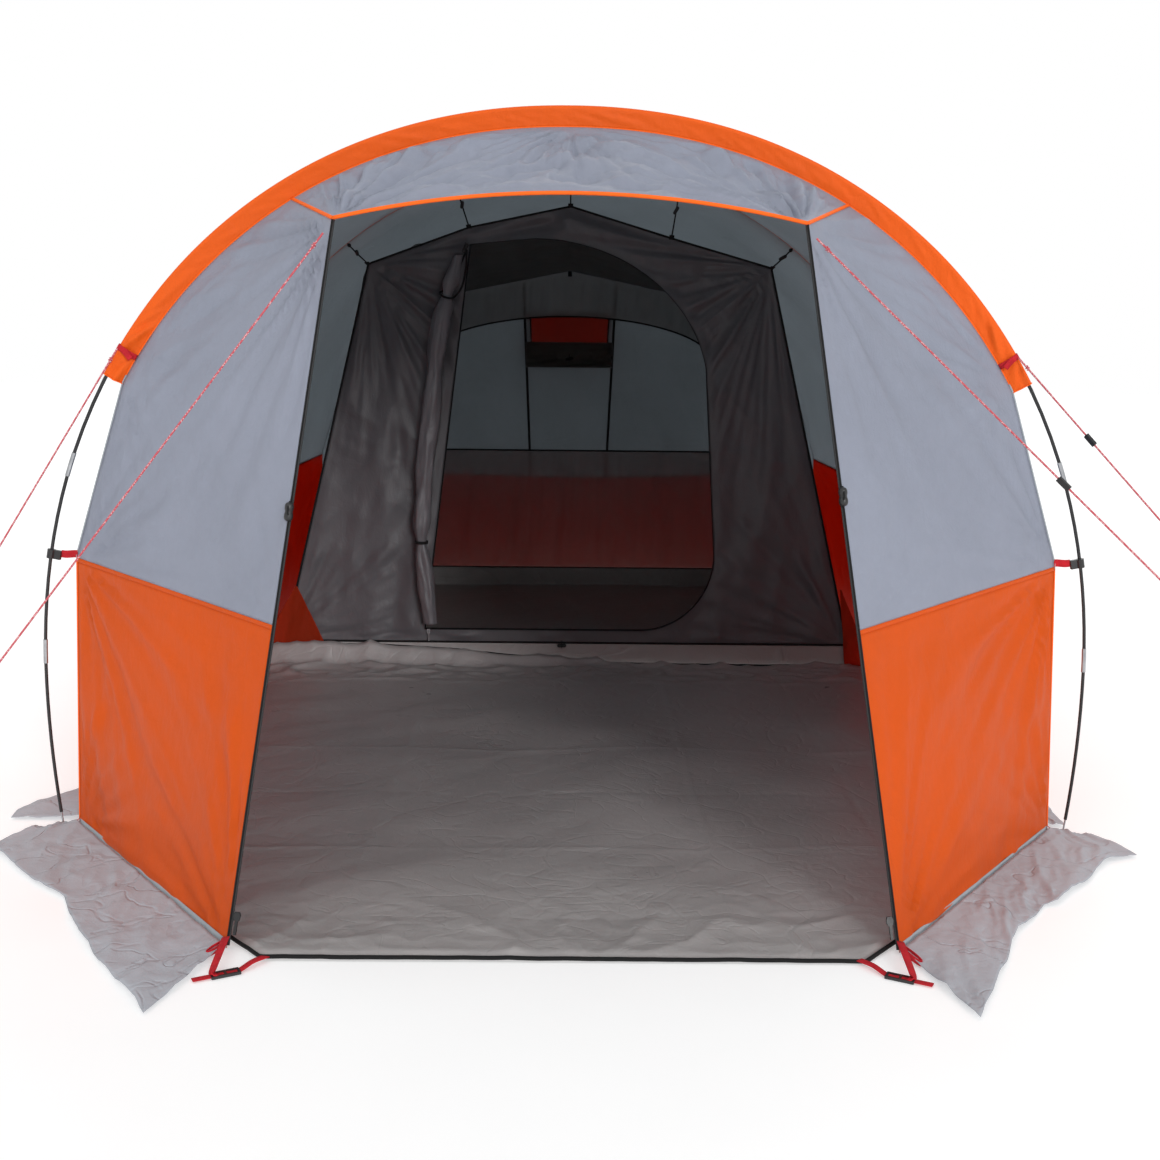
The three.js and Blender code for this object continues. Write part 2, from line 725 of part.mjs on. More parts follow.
const SHEET = { frontHalf: 640, frontY: -850, cornerX: 735, cornerY: -735, half: 1235 };
function porchGroundsheet() {
  const back = innerFront - 12;
  const half = [
    [SHEET.frontHalf, FRONT_Y + SHEET.frontY],
    [SHEET.cornerX - 12, FRONT_Y + SHEET.cornerY],
    [SHEET.half, FRONT_Y - 20],
    [SHEET.half, back],
  ];
  const mirrored = [...half].reverse().map(([x, y]) => [-x, y]);
  return flatPlate([...half, ...mirrored], CLOTH);
}
add("porch_groundsheet", porchGroundsheet(), groundCloth);

// ---- Hardware --------------------------------------------------------------------------------

// A two-bar buckle between the groundsheet's corner and the flysheet's corner webbing.
const BUCKLE = { long: 62, wide: 26, thick: 6, x: 712, y: -925, turn: 28 };
function cornerBuckle() {
  const [l, w, rim] = [BUCKLE.long / 2, BUCKLE.wide / 2, 5];
  const block = (long, wide, x) =>
    solidOf(new THREE.BoxGeometry(long, wide, BUCKLE.thick * 2).translate(x, 0, 0));
  const slot = (x) => block(l - 1.5 * rim, 2 * (w - rim), x);
  const plate = solidOf(new THREE.BoxGeometry(2 * l, 2 * w, BUCKLE.thick));
  const middle = (l - rim / 2) / 2;
  return geometryOf(plate.subtract(slot(-middle)).subtract(slot(middle)));
}
for (const [name, side] of [["right", 1], ["left", -1]])
  add(`${name}_corner_buckle`, cornerBuckle(), blackPlastic, (mesh) => {
    mesh.position.set(side * BUCKLE.x, FRONT_Y + BUCKLE.y, 1 + BUCKLE.thick / 2);
    mesh.rotation.z = -side * THREE.MathUtils.degToRad(BUCKLE.turn);
  });

// A clip snaps round each leg of the front pole, and webbing ties it to the flysheet.
function poleClip(side) {
  const pole = frontPole.atHeight(CLIP.z);
  const above = frontPole.along(frontPole.lengthTo(CLIP.z) + 10);
  const ring = spaced(10, (t) => {
    const a = THREE.MathUtils.degToRad(lerp(-150, 150, t));
    return [side * CLIP.radius * Math.cos(a), CLIP.radius * Math.sin(a)];
  });
  const tab = [[-side * CLIP.tab, 6], [-side * CLIP.tab, -6]];
  const bore = circle(CLIP.bore, 10).map((p) => [p.x, p.y]);
  const clip = flatPlate([...ring, ...tab], CLIP.high, [bore]);
  clip.translate(0, 0, -CLIP.high / 2);
  add(`${side > 0 ? "right" : "left"}_pole_clip`, clip, blackPlastic, (mesh) => {
    mesh.position.set(side * pole.x, pole.y, CLIP.z);
    aim(mesh, at(side * (above.x - pole.x), 0, above.z - pole.z));
  });
  const seamX = frontSeam.atHeight(CLIP.z).x;
  const from = pole.x - CLIP.tab - 2;
  const to = seamX + CLOTH + SEAM_GAP;
  const strap = new THREE.BoxGeometry(from - to, 3, 20);
  add(`${side > 0 ? "right" : "left"}_clip_webbing`, strap, redWebbing, (mesh) => {
    mesh.position.set((side * (from + to)) / 2, pole.y, CLIP.z);
  });
}
poleClip(1);
poleClip(-1);

// Zip sliders: a body and its pull tab. +Y is the way that the slider travels.
function zipSlider() {
  const half = [[3, -40], [3, -9], [6, -9], [8, 2], [5, 10]];
  const mirrored = [...half].reverse().map(([x, y]) => [-x, y]);
  return flatPlate([...half, ...mirrored], 6);
}
const DOOR_ZIP_INSET = 14;
for (const [name, side] of [["right", 1], ["left", -1]]) {
  const low = doorEdge(side, 70);
  const travel = doorEdge(side, DOOR.top.z).sub(low).normalize();
  add(`${name}_door_zip_slider`, zipSlider(), blackPlastic, (mesh) => {
    mesh.position.copy(low).add(at(-side * DOOR_ZIP_INSET, 0, 0));
    mesh.quaternion.setFromUnitVectors(at(0, 1, 0), travel);
  });
}
add("inner_door_zip_slider", zipSlider(), ferruleSteel, (mesh) => {
  mesh.rotation.set(Math.PI / 2, 0, 0);
  mesh.position.set(-570, innerFront - 6, 150);
});

// ---- Guylines --------------------------------------------------------------------------------

// Each line runs straight from the tent to its peg, and its runner sits a share of the way down.
const hoopTie = frontPole.atHeight(1297).add(at(6, 0, 0));
const TIE_OUT = 16; // how far in front of the pole its line ends
const porchTie = at(DOOR.top.x + 18, DOOR.top.y - 25, DOOR.top.z - 36);
const PEG_Z = 12; // height of a line where it reaches its peg
const GUYLINES = [
  { name: "left_hoop", from: [-hoopTie.x, -TIE_OUT, hoopTie.z], to: [-1935, -200], runner: 0.5 },
  { name: "right_hoop", from: [hoopTie.x, -TIE_OUT, hoopTie.z], to: [2185, -700], runner: 0.15 },
  { name: "left_porch", from: [-porchTie.x, porchTie.y, porchTie.z], to: [-1740, -600], runner: 0.7 },
  { name: "right_porch", from: [...porchTie], to: [2100, -1000], runner: 0.34 },
];

function runnerShape() {
  const [w, t] = [RUNNER.width / 2, RUNNER.thick / 2];
  const bore = circle(RUNNER.bore, 8).map((p) => [p.x, p.y]);
  return flatPlate([[-w, -t], [w, -t], [w, t], [-w, t]], RUNNER.length, [bore]);
}

// A peg stands with its point on the ground, leaning away from the tent, and ends in a hook.
function pegCurve() {
  const { length, hook } = PEG;
  const bend = spaced(5, (t) => {
    const a = Math.PI * t;
    return at(-hook + hook * Math.cos(a), 0, length - hook + hook * Math.sin(a));
  });
  const path = new THREE.CurvePath();
  const points = [at(0, 0, 0), ...bend, at(-2 * hook, 0, length - 2 * hook)];
  for (let i = 1; i < points.length; i++) path.add(new THREE.LineCurve3(points[i - 1], points[i]));
  return path;
}

for (const { name, from: start, to: peg, runner } of GUYLINES) {
  const from = at(start[0], start[1] + FRONT_Y, start[2]);
  const to = at(peg[0], peg[1] + FRONT_Y, PEG_Z);
  const line = new THREE.LineCurve3(from, to);
  const along = to.clone().sub(from).normalize();
  add(`${name}_guyline`, rodAlong(line, GUY_R, 12), redCord);
  add(`${name}_runner`, runnerShape(), blackPlastic, (mesh) => {
    mesh.position.copy(from).lerp(to, runner);
    aim(mesh, along);
  });
  const outward = at(to.x - from.x, to.y - from.y, 0).normalize();
  add(`${name}_peg`, rodAlong(pegCurve(), PEG.radius, 14, 6), ferruleSteel, (mesh) => {
    const turn = Math.atan2(outward.y, outward.x);
    mesh.rotation.order = "ZYX";
    mesh.rotation.set(0, THREE.MathUtils.degToRad(PEG.lean), turn);
    mesh.position.copy(to).addScaledVector(outward, 5 + PEG.radius);
    mesh.position.z = PEG.radius;
  });
}

export default tent;
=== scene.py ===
"""Looks for a pitched family tunnel tent: sewn and wrinkled flysheet, sleeved poles, inner tent,
groundsheets, mud flaps, webbing, zips and guylines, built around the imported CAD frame."""

import json
import math

import bpy
import numpy as np
from mathutils import Matrix, Vector


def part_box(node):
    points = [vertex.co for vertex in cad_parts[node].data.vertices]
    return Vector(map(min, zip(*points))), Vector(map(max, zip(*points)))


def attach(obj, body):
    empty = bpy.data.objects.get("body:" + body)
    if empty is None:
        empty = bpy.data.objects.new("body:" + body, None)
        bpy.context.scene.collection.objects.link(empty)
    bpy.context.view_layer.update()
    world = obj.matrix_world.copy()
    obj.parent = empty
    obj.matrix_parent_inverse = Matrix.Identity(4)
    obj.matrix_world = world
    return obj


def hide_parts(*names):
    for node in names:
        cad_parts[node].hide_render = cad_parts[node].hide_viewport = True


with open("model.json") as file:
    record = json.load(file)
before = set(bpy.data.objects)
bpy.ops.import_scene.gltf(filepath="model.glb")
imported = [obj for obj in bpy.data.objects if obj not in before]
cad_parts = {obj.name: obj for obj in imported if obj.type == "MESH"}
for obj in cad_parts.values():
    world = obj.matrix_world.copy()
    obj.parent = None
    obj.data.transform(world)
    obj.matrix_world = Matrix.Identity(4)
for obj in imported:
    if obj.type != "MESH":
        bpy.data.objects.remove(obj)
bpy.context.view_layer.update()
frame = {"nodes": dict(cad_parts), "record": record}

TENT = "tent"
UP = np.array([0.0, 0.0, 1.0])
BACK = np.array([0.0, 1.0, 0.0])


def low(node):
    return np.array(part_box(node)[0])


def high(node):
    return np.array(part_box(node)[1])


def middle(node):
    return (low(node) + high(node)) / 2


# ---- The frame's places and sizes ------------------------------------------------------------

FRONT_Y = middle("front_pole_arch")[1]
MID_Y = middle("mid_pole")[1]
REAR_Y = middle("rear_pole")[1]
POLE_R = 0.00475
KNEE_Z = 0.404  # where a pole's leg meets its arch
HOOP_POWER = 2.13  # a superellipse's power: 2 is an ellipse, and more is squarer
FOOT_LEAN = 0.026  # how far each pole's foot stands inside its knee
FIN = 0.044  # how far the flysheet hangs inside a pole, along its sleeve
INSET_AT_CLIP = 0.068  # and how far inside the pole where it is bare
INSET_AT_FOOT = 0.044
SLEEVE_LOW = 1.228  # height of the sleeves' ends
CLIP_Z = 0.755
BAND_Z = 0.740  # height of the orange band at the hoops
BAY_SAG = 0.03  # how far the roof and walls sag in between two hoops

DOOR_BOTTOM = np.array([0.740, FRONT_Y - 0.800, 0.0])
DOOR_TOP = np.array([0.548, FRONT_Y - 0.380, 1.600])
DOOR_RISE = 0.062  # how far the doorway's top curves up in its middle
DOOR_BAND_Z = 0.685  # height of the orange band at the doorway
CANOPY_X = 0.720  # half the canopy's width along the front hoop

REAR_CORNER = np.array([1.000, FRONT_Y + 4.410, 0.0])
REAR_BAND_DROP = 0.15  # how far the orange band dips in the middle of the rear wall
VENT_HALF = 0.205
VENT_LOW = 1.245
VENT_HIGH = 1.475

INNER_FRONT = low("inner_front_wall")[1]
INNER_REAR = high("inner_floor")[1]
INNER_REAR_TOP = INNER_REAR - 0.360
INNER_HALF = high("inner_floor")[0]
INNER_TOP_HALF = 0.800
EAVES = 1.630  # height of the inner tent's front upper corners
REAR_EAVES = 1.540
RIDGE = high("inner_front_wall")[2]
REAR_RIDGE = high("inner_rear_wall")[2]
TUB_HIGH = high("inner_floor")[2]
SIDES = (("right", 1), ("left", -1))

# ---- Camera ----------------------------------------------------------------------------------

CAMERA_BACK = 3.7  # metres from the front hoop
CAMERA_UP = 1.3103
SENSOR = 36.0
FOCAL_SHARE = 1.20645  # focal length over the width of the view
PITCH = math.radians(9.413)
TURN = math.radians(0.532)
ROLL = math.radians(0.62)


def set_camera():
    camera = bpy.data.cameras.new("camera")
    camera.sensor_width = SENSOR
    camera.lens = SENSOR * FOCAL_SHARE
    obj = bpy.data.objects.new("camera", camera)
    bpy.context.scene.collection.objects.link(obj)
    level = Matrix.Rotation(-TURN, 4, "Z") @ Matrix.Rotation(math.pi / 2 - PITCH, 4, "X")
    obj.matrix_world = (
        Matrix.Translation((0, FRONT_Y - CAMERA_BACK, CAMERA_UP)) @ level @ Matrix.Rotation(ROLL, 4, "Z")
    )
    bpy.context.scene.camera = obj


set_camera()

# ---- Noise -----------------------------------------------------------------------------------


class Noise:
    """Gradient noise at arrays of points, about -1 to 1, the same every run."""

    def __init__(self, seed):
        rng = np.random.default_rng(seed)
        self.table = rng.permutation(256)
        gradients = rng.normal(size=(256, 3))
        self.gradients = gradients / np.linalg.norm(gradients, axis=1, keepdims=True)

    def __call__(self, points):
        cell = np.floor(points).astype(int)
        inside = points - cell
        ease = inside**3 * (inside * (inside * 6 - 15) + 10)
        total = np.zeros(points.shape[:-1])
        for corner in np.ndindex(2, 2, 2):
            index = np.zeros(points.shape[:-1], dtype=int)
            weight = np.ones(points.shape[:-1])
            for axis, step in enumerate(corner):
                index = self.table[(index + cell[..., axis] + step) & 255]
                weight = weight * (ease[..., axis] if step else 1 - ease[..., axis])
            total += weight * np.sum(self.gradients[index] * (inside - corner), axis=-1)
        return total * 1.6

    def layers(self, points, count=3):
        return sum(self(points * 2**k + 17.3 * k) / 2**k for k in range(count))

    def ridges(self, points):
        """Sharp crests with round valleys between them."""
        return sum((1 - np.abs(self(points * 2**k + 9.1 * k))) ** 4 / 2**k for k in range(2))


NOISE = Noise(7)

# ---- Meshes ----------------------------------------------------------------------------------


def mesh_object(name, points, faces, materials, smooth=True):
    mesh = bpy.data.meshes.new(name)
    mesh.from_pydata(np.asarray(points, dtype=float).tolist(), [], faces)
    mesh.update()
    if smooth:
        mesh.polygons.foreach_set("use_smooth", [True] * len(mesh.polygons))
    for material in materials:
        mesh.materials.append(material)
    obj = bpy.data.objects.new(name, mesh)
    bpy.context.scene.collection.objects.link(obj)
    return obj


def grid_faces(rows, columns, closed=False, skip=None):
    """Quads over a grid of points. closed joins each row's end to its start."""
    r, c = np.meshgrid(np.arange(rows - 1), np.arange(columns if closed else columns - 1), indexing="ij")
    if skip is not None:
        keep = ~skip
        r, c = r[keep], c[keep]
    r, c = r.ravel(), c.ravel()
    d = (c + 1) % columns
    here, ahead = r * columns, (r + 1) * columns
    return np.stack([here + c, here + d, ahead + d, ahead + c], axis=1).tolist()


def normals_of(grid):
    across = np.gradient(grid, axis=1)
    along = np.gradient(grid, axis=0)
    normal = np.cross(across, along)
    return normal / np.maximum(np.linalg.norm(normal, axis=-1, keepdims=True), 1e-9)


def steps_along(grid, axis):
    """Length from the first row (axis 0) or column (axis 1), at each point."""
    step = np.linalg.norm(np.diff(grid, axis=axis), axis=-1)
    start = np.zeros_like(np.take(step, [0], axis=axis))
    return np.concatenate([start, np.cumsum(step, axis=axis)], axis=axis)


def facing(grid, towards, across=False):
    """The grid with its rows, or its columns, turned round if its normals point away on the whole."""
    if np.mean(np.sum(normals_of(grid) * towards, axis=-1)) < 0:
        return grid[:, ::-1] if across else grid[::-1]
    return grid


def unit(vector):
    vector = np.array(vector, dtype=float)
    return vector / np.linalg.norm(vector)


def both_sides(point):
    """A place and its mirror image across the tent."""
    return [point * np.array([side, 1, 1]) for side in (1, -1)]


def lerp(a, b, t):
    return a + (b - a) * t


def smoothstep(x):
    x = np.clip(x, 0, 1)
    return x * x * (3 - 2 * x)


def ruled(first, last, rows):
    """A grid in straight lines from one row of points to another."""
    v = np.linspace(0, 1, rows)[:, None, None]
    return lerp(first[None], last[None], v)


# ---- Wrinkles --------------------------------------------------------------------------------


def edge_fade(grid, widths):
    """0 at each edge with a width, 1 inside. widths: first row, last row, first and last column."""
    v, u = steps_along(grid, 0), steps_along(grid, 1)
    distances = (v, v[-1:] - v, u, u[:, -1:] - u)
    fade = np.ones(grid.shape[:2])
    for distance, width in zip(distances, widths):
        if width:
            fade = fade * smoothstep(distance / width)
    return fade


def fan(grid, focus, spokes, depth, reach, seed):
    """Wrinkles that spread from a point where the cloth is pulled."""
    focus = np.asarray(focus, dtype=float)
    normal = normals_of(grid).reshape(-1, 3).mean(axis=0)
    ahead = grid.reshape(-1, 3).mean(axis=0) - focus
    ahead = unit(ahead - normal * (ahead @ normal))
    aside = np.cross(normal, ahead)
    offset = grid - focus
    distance = np.linalg.norm(offset, axis=-1)
    angle = np.arctan2(offset @ aside, offset @ ahead)
    at = np.stack([angle * spokes, distance * 1.3, np.full_like(angle, seed)], axis=-1)
    strength = np.exp(-((distance / reach) ** 2)) * smoothstep(distance / 0.12)
    return depth * strength * NOISE.layers(at, 2)


def fans(grid, places, spokes, depth, reach, seed):
    """The same fan at several places, with different wrinkles in each."""
    return sum(fan(grid, place, spokes, depth, reach, seed + k) for k, place in enumerate(places))


def pulled(grid, direction, width, length, depth, seed):
    """Long wrinkles along one direction."""
    direction = unit(direction)
    aside = unit(np.cross(normals_of(grid).reshape(-1, 3).mean(axis=0), direction))
    at = np.stack([grid @ aside / width, grid @ direction / length, np.full(grid.shape[:2], seed)], axis=-1)
    return depth * NOISE.layers(at, 2)


def creased(grid, size, depth, seed):
    """The sharp little folds that packing leaves in thin cloth."""
    return depth * (NOISE.ridges(grid / size + seed) - 0.3)


def relief(grid, amounts, fade):
    """The grid, moved along its normals."""
    height = sum(amounts) * edge_fade(grid, fade)
    return grid + normals_of(grid) * height[..., None]


# ---- Materials -------------------------------------------------------------------------------


def rgb(code):
    """Linear colour, from the usual six hexadecimal digits."""
    values = [int(code[i : i + 2], 16) / 255 for i in (0, 2, 4)]
    return tuple(v / 12.92 if v <= 0.04045 else ((v + 0.055) / 1.055) ** 2.4 for v in values) + (1.0,)


class Nodes:
    """A material's node tree, with short ways to add to it."""

    def __init__(self, name):
        self.material = bpy.data.materials.new(name)
        self.material.use_nodes = True
        self.tree = self.material.node_tree
        self.tree.nodes.clear()
        self.output = self.tree.nodes.new("ShaderNodeOutputMaterial")
        self.place = self.add("ShaderNodeTexCoord").outputs["Object"]

    def add(self, kind, inputs=None, **settings):
        node = self.tree.nodes.new(kind)
        for key, value in settings.items():
            setattr(node, key, value)
        self.fill(node, inputs or {})
        return node

    def fill(self, node, inputs):
        """Links each socket given, and sets each plain value."""
        for key, value in inputs.items():
            if isinstance(value, bpy.types.NodeSocket):
                self.tree.links.new(value, node.inputs[key])
            else:
                node.inputs[key].default_value = value

    def noise(self, scale, detail=3.0, rough=0.5, distortion=0.0, place=None):
        inputs = {"Vector": place or self.place, "Scale": scale, "Detail": detail}
        inputs.update({"Roughness": rough, "Distortion": distortion})
        return self.add("ShaderNodeTexNoise", inputs).outputs["Fac"]

    def stretch(self, scale, rotation=(0, 0, 0)):
        inputs = {"Vector": self.place, "Scale": scale, "Rotation": rotation}
        return self.add("ShaderNodeMapping", inputs).outputs["Vector"]

    def math(self, operation, a, b=0.0):
        return self.add("ShaderNodeMath", {0: a, 1: b}, operation=operation).outputs[0]

    def spread(self, value, from_low, from_high, to_low, to_high):
        inputs = {"Value": value, "From Min": from_low, "From Max": from_high}
        inputs.update({"To Min": to_low, "To Max": to_high})
        return self.add("ShaderNodeMapRange", inputs).outputs[0]

    def grey(self, value):
        return self.add("ShaderNodeCombineColor", {0: value, 1: value, 2: value}).outputs[0]

    def valleys(self, value):
        """0 along the lines where a noise crosses its middle, rising to each side of them."""
        return self.math("ABSOLUTE", self.math("SUBTRACT", value, 0.5))

    def blend(self, factor, first, second):
        """Two surfaces mixed. second is a node."""
        mixer = self.add("ShaderNodeMixShader", {0: factor})
        self.tree.links.new(first, mixer.inputs[1])
        self.tree.links.new(second.outputs[0], mixer.inputs[2])
        return mixer.outputs[0]

    def mix(self, factor, a, b, how="MIX"):
        node = self.add("ShaderNodeMix", data_type="RGBA", blend_type=how)
        self.fill(node, {0: factor, 6: a, 7: b})
        return node.outputs[2]

    def bump(self, height, strength, distance, normal=None):
        inputs = {"Height": height, "Strength": strength, "Distance": distance}
        if normal is not None:
            inputs["Normal"] = normal
        return self.add("ShaderNodeBump", inputs).outputs["Normal"]

    def weave(self, scale):
        """Threads in three directions, so that a sheet at any angle shows two of them."""
        x, y, z = (self.bands(scale, direction, Distortion=0.4, Detail=1.0) for direction in "XYZ")
        return self.math("ADD", self.math("ADD", x, y), z)

    def bands(self, scale, direction, **inputs):
        inputs = {"Vector": self.place, "Scale": scale, **inputs}
        return self.add("ShaderNodeTexWave", inputs, bands_direction=direction).outputs["Fac"]

    def principled(self, **inputs):
        keys = {key.replace("_", " "): value for key, value in inputs.items()}
        return self.add("ShaderNodeBsdfPrincipled", keys).outputs[0]

    def finish(self, surface):
        self.tree.links.new(surface, self.output.inputs["Surface"])
        return self.material


CLOTH_TONE = 0.07  # how much lighter or darker cloth gets in patches


def cloth(
    name, colour, through=None, glow=0.0, clear=0.0, rough=0.6, shine=0.25, crinkle=0.3, creases=0.0
):
    """Coated cloth: weave, crinkles, worn and shaded patches, and light that comes through it."""
    n = Nodes(name)
    patches = n.noise(2.3, 4.0, 0.6)
    flecks = n.noise(38.0, 3.0, 0.7)
    uneven = n.math("ADD", patches, n.math("MULTIPLY", flecks, 0.35))
    shade = n.grey(n.spread(uneven, 0.4, 0.95, 1 - CLOTH_TONE, 1 + CLOTH_TONE))
    base = n.mix(1.0, rgb(colour), shade, "MULTIPLY")
    folds = n.valleys(n.noise(9.0, 5.0, 0.62, 0.6))
    long_folds = n.valleys(n.noise(6.0, 4.0, 0.6, 0.5, n.stretch((3.0, 3.0, 0.8), (0.3, 0.5, 0.2))))
    normal = n.bump(n.math("ADD", folds, long_folds), crinkle, 0.012)
    for scale in (1.9, 4.3) if creases else ():
        line = n.spread(n.valleys(n.noise(scale, 2.0, 0.5, 1.2)), 0.0, 0.022, 0.0, 1.0)
        normal = n.bump(line, creases, 0.003, normal)
    normal = n.bump(n.weave(170.0), 0.12, 0.0006, normal)
    surface = n.principled(
        Base_Color=base,
        Roughness=n.spread(patches, 0.3, 0.7, rough - 0.08, rough + 0.08),
        Normal=normal,
        Specular_IOR_Level=shine,
    )
    if glow:
        light = n.mix(1.0, rgb(through or colour), shade, "MULTIPLY")
        lit_through = n.add("ShaderNodeBsdfTranslucent", {"Color": light, "Normal": normal})
        surface = n.blend(glow, surface, lit_through)
    if clear:
        surface = n.blend(clear, surface, n.add("ShaderNodeBsdfTransparent"))
    return n.finish(surface)


def webbing(name, colour, scale=420.0):
    """Woven strap: ribs across it and a faint fleck."""
    n = Nodes(name)
    tone = n.grey(n.spread(n.noise(60.0, 3.0), 0.3, 0.7, 0.82, 1.12))
    shaded = n.mix(1.0, rgb(colour), tone, "MULTIPLY")
    normal = n.bump(n.weave(scale), 0.5, 0.0008)
    surface = n.principled(Base_Color=shaded, Roughness=0.75, Normal=normal, Specular_IOR_Level=0.3)
    return n.finish(surface)


def plastic(name, colour, rough=0.45, grain=0.25):
    """Moulded plastic: a fine grain, and duller where it is handled."""
    n = Nodes(name)
    wear = n.spread(n.noise(25.0, 4.0, 0.7), 0.35, 0.75, rough - 0.1, rough + 0.12)
    tone = n.mix(n.noise(12.0, 3.0), rgb(colour), rgb("2a2a2c"))
    normal = n.bump(n.noise(900.0, 2.0), grain, 0.0004)
    return n.finish(n.principled(Base_Color=tone, Roughness=wear, Normal=normal))


def metal(name, colour):
    """Plated metal, brushed along its length."""
    n = Nodes(name)
    brushed = n.noise(220.0, 3.0, 0.6, 0.0, n.stretch((1.0, 1.0, 0.06)))
    gloss = n.spread(brushed, 0.3, 0.7, 0.22, 0.44)
    tone = n.mix(n.noise(30.0, 4.0), rgb(colour), rgb("8d9094"))
    normal = n.bump(brushed, 0.15, 0.0003)
    return n.finish(n.principled(Base_Color=tone, Metallic=1.0, Roughness=gloss, Normal=normal))


BRAID_SCALE = 210.0


def braid():
    """Reflective guyline: a red braid with fine pale flecks."""
    n = Nodes("guyline_braid")
    strands = n.bands(BRAID_SCALE, "DIAGONAL", Distortion=1.5)
    flecks = n.add("ShaderNodeTexVoronoi", {"Vector": n.place, "Scale": BRAID_SCALE})
    pale = n.spread(flecks.outputs["Distance"], 0.34, 0.46, 1.0, 0.0)
    colour = n.mix(pale, rgb("c4525c"), rgb("dca6a8"))
    normal = n.bump(strands, 0.6, 0.0006)
    return n.finish(n.principled(Base_Color=colour, Roughness=0.7, Normal=normal))


def net():
    """Insect netting: mostly holes, with a fine dark thread."""
    n = Nodes("insect_net")
    thread = n.principled(Base_Color=rgb("2a2c2d"), Roughness=0.8)
    holes = n.spread(n.weave(260.0), 0.6, 2.4, 0.30, 0.56)
    return n.finish(n.blend(holes, thread, n.add("ShaderNodeBsdfTransparent")))


def zip_tape():
    """Zip tape with its row of teeth."""
    n = Nodes("zip_tape")
    teeth = n.bands(90.0, "Z")
    colour = n.mix(n.math("MULTIPLY", teeth, 0.35), rgb("101011"), rgb("3a3a3d"))
    return n.finish(n.principled(Base_Color=colour, Roughness=0.55, Normal=n.bump(teeth, 0.6, 0.0012)))


GREY = cloth("grey_flysheet", "9da2b2", through="d8e0e6", glow=0.3, rough=0.5)
GREY_INSIDE = cloth("grey_flysheet_inside", "8c9498", through="d8e0e4", glow=0.45, crinkle=0.5)
ORANGE = cloth("orange_flysheet", "e05a12", through="f86a1c", glow=0.25, rough=0.5, shine=0.2)
ORANGE_INSIDE = cloth("orange_flysheet_inside", "a83818", through="f04c18", glow=0.5, shine=0.15)
SLEEVE = cloth("orange_sleeve", "e85e14", through="ff7a2a", glow=0.08, shine=0.2, crinkle=0.4)
FLAP = cloth("mud_flap_sheet", "aeb1b8", rough=0.62, shine=0.12, creases=0.7)
SHEET = cloth("groundsheet", "a6a2a1", rough=0.34, shine=0.7, crinkle=0.2, creases=0.22)
TUB = cloth("inner_floor_sheet", "a6a2a1", rough=0.4, shine=0.5, creases=0.45)
INNER = cloth("inner_cloth", "6a686c", glow=0.2, clear=0.03, rough=0.45, shine=0.5)
INNER_ROOF = cloth(
    "inner_roof_cloth", "605d5c", through="9a9896", glow=0.4, clear=0.08, rough=0.5, shine=0.4
)
INNER_REAR_WALL = cloth("inner_rear_cloth", "5c5857", through="c0b8b4", glow=0.4, clear=0.3, rough=0.5)
RED_STRAP = webbing("red_strap", "c81f2b")
BLACK_STRAP = webbing("black_strap", "131314")
ELASTIC = webbing("black_elastic", "1a1a1b", 700.0)
BINDING = webbing("black_binding", "161617", 600.0)
BLACK = plastic("black_plastic", "141415")
ROD = plastic("fibreglass_rod", "101213", rough=0.3, grain=0.1)
STEEL = metal("plated_steel", "c8cacd")
PIPING = cloth("orange_piping", "f4681c", rough=0.65, shine=0.2)
TAPE = cloth("grey_tape", "9da3a8", rough=0.6)
CORD = braid()
NET = net()
DOOR_CLOTH = cloth("rolled_door_cloth", "716f73", rough=0.4, shine=0.5, crinkle=0.5)
NET_CLOTH = cloth("vent_cover_cloth", "6a6765", through="a8a4a0", glow=0.35, rough=0.7)
ZIP = zip_tape()

CAD_LOOKS = {"fibreglass": ROD, "steel": STEEL, "black_plastic": BLACK, "red_webbing": RED_STRAP}
for entry in frame["record"]["subparts"]:
    look = CAD_LOOKS.get(entry["material_slot"])
    if look:
        mesh = frame["nodes"][entry["node"]].data
        mesh.materials.clear()
        mesh.materials.append(look)


# ---- Pieces ----------------------------------------------------------------------------------


def ride(obj, body=TENT, nodes=()):
    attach(obj, body)
    if nodes:
        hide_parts(*nodes)
    return obj


def thicken(obj, thickness, inside=False):
    """Gives cloth a second skin, in its second material if it has one."""
    modifier = obj.modifiers.new("thickness", "SOLIDIFY")
    modifier.thickness = thickness
    modifier.offset = -1.0
    if inside:
        modifier.material_offset = 1
    return obj


def sheet(name, grid, flat, materials, slot, held, thickness=0.0, skip=None, body=TENT, nodes=()):
    """One cut of cloth: a grid of points."""
    obj = mesh_object(name, grid.reshape(-1, 3), grid_faces(*grid.shape[:2], skip=skip), materials)
    if thickness:
        thicken(obj, thickness, len(materials) > 1)
    ride(obj, body, nodes)


FLY_THICK = 0.0012
SHEET_THICK = 0.0009


def panel(node, grid, flat, materials, slot, held="stretched", thickness=FLY_THICK, **other):
    """One cut of cloth in place of its node."""
    sheet(f"{node}_cloth", grid, flat, materials, slot, held, thickness, nodes=[node], **other)


def frames_along(points, side_hint):
    """The points of a line, with the unit tangent and a unit cross direction at each."""
    points = np.asarray(points, dtype=float)
    tangent = np.gradient(points, axis=0)
    tangent /= np.linalg.norm(tangent, axis=1, keepdims=True)
    hint = np.broadcast_to(np.asarray(side_hint, dtype=float), points.shape)
    side = hint - tangent * np.sum(hint * tangent, axis=1, keepdims=True)
    side /= np.maximum(np.linalg.norm(side, axis=1, keepdims=True), 1e-9)
    return points, tangent, side


